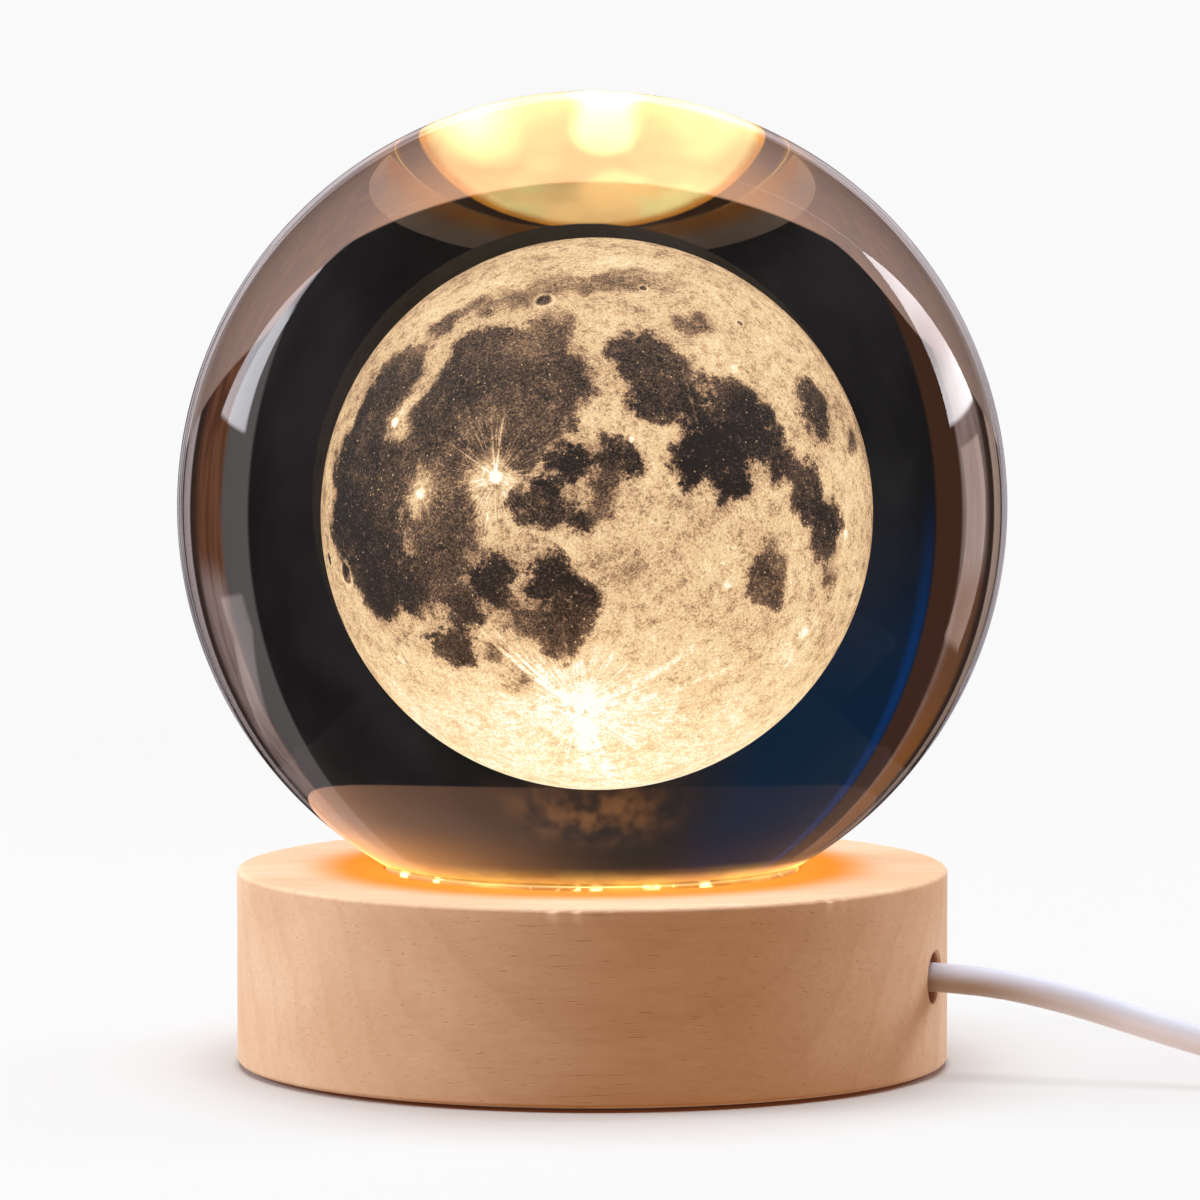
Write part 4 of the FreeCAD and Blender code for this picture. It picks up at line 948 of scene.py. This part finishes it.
# ---------------------------------------------------------------- glass ball
# A solid ball of polished optical glass, 80 mm across, ground flat underneath with a small bevel so
# that it stands. It shows its surroundings turned over, and the diodes' light on its flat.
ball_radius, flat_radius, bevel = 39.98, 20.0, 0.3
ball_foot, glass_bend, flat_squeeze = 19.4, 1.52, 1.17
# Where the diodes shine through the ground flat: to the right, back, width and strength of each glow.
flat_glows = ((-1.2, -2.1, 3.9, 3.0), (10.5, -2.5, 5.0, 0.9), (-2.5, -11.2, 4.6, 0.8),
              (-11.0, -2.5, 4.5, 0.35), (4.5, 10.5, 5.0, 0.5), (-8.0, 9.0, 5.0, 0.4))


def crystal():
    """Clear glass. Its ground flat scatters the diodes' light, and so does its foot, faintly.

    Seen along its surface the flat is dark but for the diodes' own bright dots."""
    made = finish("polished_crystal")
    where = made.place()
    z = where.part("Z")
    haze = made.noise(made.place(), 0.02, 1.0).ease(0.3, 0.7)
    clear = made.blend(haze, (0.985, 0.990, 0.990), (0.995, 0.995, 0.992))
    flat = z.ease(ball_foot + 0.02, ball_foot + 0.01)
    shine = 0.34 + made.noise(where, 0.09, 2.0).ease(0.3, 0.7) * 0.20
    for across, back, wide, strength in flat_glows:
        shine = shine + where.vector("DISTANCE", (across, back, ball_foot)).ease(wide, 0.0) * strength
    y = where.part("Y")
    reach = where.vector("MULTIPLY", (flat_squeeze, 1, 1)).reach()
    rim = reach.ease(17.6, 19.4)
    glow = made.blend(made.noise(where, 0.13, 2.0).ease(0.40, 0.62), (1.0, 0.60, 0.22), (1.0, 0.78, 0.30))
    glow = made.blend(rim, glow, (0.60, 0.22, 0.020))
    shine = shine * reach.ease(flat_radius, flat_radius - 0.5, 0.04, 1.0)
    shine = shine * y.ease(-1.0, -13.0, 1.0, 3.3) * y.ease(1.0, 13.0, 1.0, 0.6)
    foot = z.ease(ball_foot + 2.4, ball_foot) * (1 - flat)
    foot_glow = made.blend(made.noise(where, 0.22, 3.0).ease(0.35, 0.7), (0.050, 0.018, 0.002),
                           (0.085, 0.042, 0.006))
    steep = made.node("LayerWeight", {}, {"Blend": 0.5}, "Facing").ease(0.80, 0.55)
    dots = made.noise(where, 0.45, 2.0, 0.6).ease(0.55, 0.68) * 0.5 + 0.03
    shine = shine * (steep + (1 - steep) * dots)
    light = glow.vector("MULTIPLY", flat * shine).vector("ADD", foot_glow.vector("MULTIPLY", foot))
    return made.surface(Base_Color=clear, Roughness=flat * 0.25, IOR=glass_bend, Transmission_Weight=1.0,
                        Emission_Color=light, Emission_Strength=9.0)


flat = [6, 12, 17, flat_radius - bevel - 0.02, flat_radius - bevel]
points, faces = dome(ball_up, ball_radius, ball_foot, flat, 200, 360, bevel, closed=True)
crystal_ball = put("crystal_ball", points * MM, faces, crystal(), crease=20)
crystal_ball.visible_shadow = False
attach(crystal_ball, "ball")
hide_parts("glass_ball")

# ---------------------------------------------------------------- engraved moon
# The moon's globe, 35 mm across, drawn in the glass by a laser as a skin of white fracture points,
# dense where the moon is pale and sparse in its seas. The diodes light it from below.
moon_radius = 17.5
moon_middle = np.array([0.3, 0, 53.54])
moon_share = moon_radius / ball_radius
moon_rings, moon_around = 210, 420
front_rise = math.radians(4.16)
FRONT = np.array([0, -math.cos(front_rise), math.sin(front_rise)])
RIGHT = np.array([1.0, 0, 0])
OVER = np.cross(RIGHT, -FRONT)
moon_roll = math.radians(6.5)
# Seas: longitude east, latitude north, radius, in degrees, and how dark each is.
seas = ((-14, 34, 12.0, 0.68), (-24, 37, 7.5, 0.92), (-7, 27, 6.5, 0.82), (-30, 28, 7, 0.86),
        (-8, 40, 5, 0.60), (-20, 22, 8, 0.72), (-8, 19, 5.5, 0.80), (-30, 17, 8, 0.74), (-36, 22, 6, 0.80),
        (-30, 3, 7, 0.66), (-15, 13, 6, 0.72), (-50, 36, 6.5, 0.76), (-57, 26, 8.5, 0.86),
        (-61, 14, 10.5, 0.94), (-46, 14, 7, 0.76), (-62, 2, 10, 0.96), (-54, -8, 8.5, 0.95),
        (-43, -11, 6, 0.88), (-48, 2, 7.5, 0.84), (-34, -5, 6.5, 0.66), (-32, -15, 5, 0.84),
        (-22, -10, 5.5, 0.88), (-10, -12, 4.0, 0.92), (-7, -17, 3.6, 0.95), (-17, -20, 5.5, 0.66),
        (-11, -25, 5.5, 0.90), (-37.5, -25, 5.6, 1.0), (-24, -34, 2.4, 0.7), (-26, -26, 2.4, 0.6),
        (-4, 10, 3, 1.0), (-8, 4.5, 3.2, 1.0), (-15, 4, 2.4, 0.95), (-11, 0.5, 3.6, 0.82), (-3, -1, 3, 0.9),
        (4, 11, 4.2, 0.95), (9, 9, 2.4, 1.0), (2, 4, 3.6, 0.6), (2, 24.5, 1.6, 0.6), (18, 28, 8.5, 0.78),
        (12, 33, 4.5, 0.92), (25, 22, 5.5, 0.92), (14, 21, 4.2, 0.98), (33, 38, 3.2, 0.6),
        (27, 11, 7.2, 1.0), (37, 14, 5.8, 1.0), (42, 6, 4.6, 0.9), (30, 1, 4.6, 1.0), (21, 6, 4.2, 1.0),
        (36, 20, 4, 0.86), (58, 16, 6.6, 0.84), (50, 1, 5.2, 0.92), (54, -6, 5.6, 0.94),
        (54, -13, 3.8, 0.8), (58, -20, 2.6, 0.6), (36, -18, 4.0, 0.78), (37, -13, 3.0, 0.6),
        (72, 8, 2.6, 0.6), (-8, 54.5, 4, 0.50), (2, 54.5, 4, 0.56), (13, 54.5, 4.2, 0.56), (24, 54, 4, 0.50),
        (33, 53, 3.6, 0.4), (-42, 47, 4, 0.7), (-31, 51, 3.4, 0.55), (-20, 53.5, 3.4, 0.5),
        (3, -10, 5, 0.25))
# Small crisp craters with a dark floor: longitude, latitude and radius.
dark_craters = ((-9, 50.5, 1.7), (-67, -6.5, 2.2), (-77, -3, 1.3), (24, 51, 0.8), (48, 38, 0.7))
# Craters with bright rays: longitude, latitude, radius, the reach of their rays and their strength.
splashes = ((-11, -43, 1.3, 32, 0.78), (-20, 9.6, 1.5, 18, 0.95), (-38, 8, 1.3, 10, 0.70),
            (-47.5, 23.7, 1.3, 8, 0.7), (-57, -26, 1.4, 6, 0.35), (53, -31, 2.0, 9, 0.4),
            (27, -18, 1.2, 5, 0.3), (63, -10, 1.2, 6, 0.3), (38, 27, 1.2, 6, 0.25), (9, 14, 0.8, 2.5, 0.5))
# Single long rays: from where to where, how wide in degrees and how bright.
long_rays = (((-12, -42), (-33, -15), 0.7, 0.55), ((-12.5, -41), (-30, -14), 0.5, 0.45),
             ((-11, -43), (-24, -70), 1.6, 0.40), ((-11, -43), (-4, -80), 2.0, 0.35),
             ((-11, -43), (52, -4), 1.2, 0.20), ((-11, -43), (50, -28), 1.2, 0.16),
             ((-20, 9.6), (-17, 27), 0.35, 0.40), ((-20, 9.6), (-21, 25), 0.3, 0.35),
             ((-20, 9.6), (-34, 20), 0.3, 0.35), ((24, 15), (24, 30), 0.5, 0.22))


def globe_way(longitude, latitude):
    """The direction of a place on the globe, as the picture shows it: right, over, towards the front."""
    east, north = math.radians(longitude), math.radians(latitude)
    x, y = math.cos(north) * math.sin(east), math.sin(north)
    cosine, sine = math.cos(moon_roll), math.sin(moon_roll)
    return np.array([x * cosine - y * sine, x * sine + y * cosine, math.cos(north) * math.cos(east)])


def through_glass(angle):
    """Where on the engraved globe a place is drawn so that the ball shows it in its right place.

    A place this far from the globe's middle, as seen, is engraved further round by the glass's bend."""
    seen = np.sin(np.minimum(angle, math.pi / 2))
    bent = angle + np.arcsin(glass_bend * moon_share * seen) - np.arcsin(moon_share * seen)
    past = bent[angle <= math.pi / 2].max()
    rest = past + (math.pi - past) * (angle - math.pi / 2) / (math.pi / 2)
    return np.where(angle <= math.pi / 2, bent, rest)


def moon_globe():
    """Rings round the line of sight: where each point lies, and which place of the moon it shows."""
    angle = np.linspace(0, math.pi, moon_rings + 2)[1:-1]
    drawn = through_glass(angle)
    shown = turned(np.sin(angle), np.cos(angle), moon_around)
    out = turned(np.sin(drawn), np.cos(drawn), moon_around) @ np.stack([RIGHT, OVER, FRONT])
    near, far = (moon_middle + side * moon_radius * FRONT for side in (1, -1))
    points, faces = wrapped((moon_middle + moon_radius * out)[::-1], far, near)
    places = np.vstack([shown[::-1].reshape(-1, 3), [(0, 0, -1)], [(0, 0, 1)]])
    return points, faces, places


def seas_of(places):
    """How surely each place is in a sea, from soft round patches combined, and how dark that sea is."""
    shift = np.stack([waves(places, 0.30, 30, 11 + k) * 0.016 + waves(places, 0.10, 40, 21 + k) * 0.010
                      for k in range(3)], axis=-1)
    moved = places + shift
    moved /= np.linalg.norm(moved, axis=1, keepdims=True)
    pale = np.ones(len(places))
    weight, total = np.full(len(places), 1e-6), np.zeros(len(places))
    for longitude, latitude, radius, strength in seas:
        away = np.degrees(np.arccos(np.clip(moved @ globe_way(longitude, latitude), -1, 1)))
        soft = radius * 0.42 + 2.8
        depth = np.clip((radius + soft * 0.5 - away) / soft, 0, 1)
        pale *= 1 - depth
        weight, total = weight + depth, total + depth * strength
    return 1 - pale, total / weight


def splash_light(made, ground, soft, longitude, latitude, radius, reach, strength):
    """The light of one crater: hair-fine rays away from it that thin out, a halo and a bright middle."""
    middle = globe_way(longitude, latitude)
    across = np.cross(middle, (0.3, 1.0, 0.2))
    across /= np.linalg.norm(across)
    along = np.cross(middle, across)
    dots = [ground.vector("DOT_PRODUCT", way) for way in (middle, across, along)]
    away = dots[0].below(1.0).maths("ARCCOSINE") * DEGREES
    around = made.node("CombineXYZ", {}, {0: dots[1], 1: dots[2], 2: 0.0}).vector("NORMALIZE")
    outward = made.node("CombineXYZ", {}, {0: 0.0, 1: 0.0, 2: away * 0.10})
    lines = made.node("VectorMath", {"operation": "MULTIPLY_ADD"}, {0: around, 1: (24,) * 3, 2: outward})
    hair = made.noise(lines, 1.0, 3.0, 0.6).ease(0.48, 0.70)
    rays = hair * away.ease(reach, radius) * away.ease(radius * 0.6, radius * 1.6)
    halo = away.ease(radius * 5.0, radius * 0.5) * soft
    glow = away.ease(reach * 0.45, 0.0) * (soft * 0.6 + 0.4)
    core = away.ease(radius, radius * 0.6)
    moat = away.ease(radius * 1.9, radius * 1.5) * away.ease(radius, radius * 1.2)
    return (rays * 0.42 + halo * 0.15 + glow * 0.34 + core * 0.55 - moat * 0.16) * strength


def long_ray(ground, start, end, width, strength):
    """One long straight ray between two places, as wide as so many degrees."""
    first, last = globe_way(*start), globe_way(*end)
    reach = math.degrees(math.acos(first @ last))
    off = np.cross(first, last)
    off /= np.linalg.norm(off)
    onward = np.cross(off, first)
    beside = ground.vector("DOT_PRODUCT", off)
    gone = ground.vector("DOT_PRODUCT", onward)
    this_side = ground.vector("DOT_PRODUCT", first)
    side = math.sin(math.radians(width))
    far = math.sin(math.radians(min(reach, 89)))
    line_of_light = beside.size().ease(side, side * 0.2) * this_side.ease(0.0, 0.1)
    return line_of_light * gone.ease(0.0, 0.03) * gone.ease(far, far * 0.35) * strength


def fracture_points():
    """Pale points on dark: the moon's tone sets how many light up, and the light falls off upwards."""
    made = finish("engraved_moon")
    ground = made.node("Attribute", {"attribute_name": "ground"}, {}, "Vector")
    deep, darkness = (made.node("Attribute", {"attribute_name": layer}, {}, "Fac")
                      for layer in ("sea", "darkness"))
    broad = made.noise(ground, 5.0, 3.0, 0.6)
    mottle = made.noise(ground, 19.0, 5.0, 0.68)
    grain = made.noise(ground, 60.0, 3.0, 0.8)
    dust = made.noise(ground, 125.0, 1.0, 0.8)
    stipple = (grain - 0.5) * 1.3 + (dust - 0.5) * 1.6
    ragged = (mottle - 0.5) * 2.2 + (grain - 0.5) * 1.6 + (broad - 0.5) * 0.8
    sea = (deep + ragged).ease(0.20, 0.85) * deep.ease(0.0, 0.25) * darkness
    smudge = (mottle - 0.53).ease(0.0, -0.17)
    land = 0.62 + (broad - 0.5) * 0.50 - smudge * 0.12 + (mottle - 0.5) * 0.24 + stipple * 0.44
    floor_tone = (broad - 0.5) * 0.55 - 0.03 + (mottle - 0.5) * 0.50 + stipple * 0.42
    tone = land + (floor_tone - land) * sea
    for scale, share, depth in ((13.0, 0.62, 0.22), (27.0, 0.55, 0.20), (60.0, 0.50, 0.22)):
        cell = made.cells(ground, scale)
        lucky = made.cells(ground, scale, "Color").part("X")
        size = lucky.ease(share, 1.0, 0.05, 0.24)
        pit = (size - cell).ease(-0.03, 0.05)
        rim = (size + 0.07 - cell).ease(-0.03, 0.03) * (1 - pit)
        real = lucky.ease(share, share + 0.02)
        tone = tone + (rim * 0.55 - pit) * real * depth * (land - 0.1)
    tone = tone + made.cells(ground, 34.0).ease(0.15, 0.03) * sea * 0.70
    for longitude, latitude, radius in dark_craters:
        away = ground.vector("DISTANCE", globe_way(longitude, latitude)) * DEGREES
        tone = tone + away.ease(radius * 1.7, radius * 1.15) * 0.15
        tone = tone - away.ease(radius * 1.2, radius * 0.7) * 0.50
    soft = mottle.ease(0.36, 0.62)
    for splash in splashes:
        tone = tone + splash_light(made, ground, soft, *splash)
    for ray in long_rays:
        tone = tone + long_ray(ground, *ray) * soft.ease(-0.4, 1.0)
    # Painted light of the diodes below: the glow is brighter towards the globe's bottom, a little at its
    # very top, and darker towards its rim above the bottom.
    height = made.place(middle=moon_middle * MM).part("Z") / moon_radius
    tone = tone + height.ease(-0.35, -0.98) * 0.26 + height.ease(0.4, 1.0) * 0.05
    tone = tone - ground.part("Z").ease(0.45, 0.0) * height.ease(-0.8, 0.2) * 0.14
    stops = ((0.0, (0.017, 0.013, 0.012)), (0.20, (0.115, 0.068, 0.045)), (0.40, (0.41, 0.240, 0.132)),
             (0.60, (0.82, 0.545, 0.300)), (0.78, (0.97, 0.72, 0.41)), (0.90, (1.0, 0.90, 0.60)),
             (1.0, (1.0, 1.0, 0.92)))
    glow = made.node("ValToRGB", {"stops": stops}, {0: tone}, "Color")
    # Painted light: the back half of the globe glows dimmer.
    far = ground.part("Z").ease(-0.45, 0.02, 0.45, 1.0)
    return made.surface(Base_Color=(0.02, 0.016, 0.012), Roughness=0.8, Specular_IOR_Level=0.0,
                        Emission_Color=glow.vector("MULTIPLY", far), Emission_Strength=1.06)


points, faces, places = moon_globe()
depths, darkness = seas_of(places)
moon = put("moon_engraving", points * MM, faces, fracture_points())
for name, kind, values in (("ground", "FLOAT_VECTOR", places), ("sea", "FLOAT", depths),
                           ("darkness", "FLOAT", darkness)):
    layer = moon.data.attributes.new(name, kind, "POINT")
    layer.data.foreach_set("vector" if kind == "FLOAT_VECTOR" else "value",
                           np.ascontiguousarray(values, dtype=np.float32).ravel())
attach(moon, "ball")
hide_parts("engraved_moon")
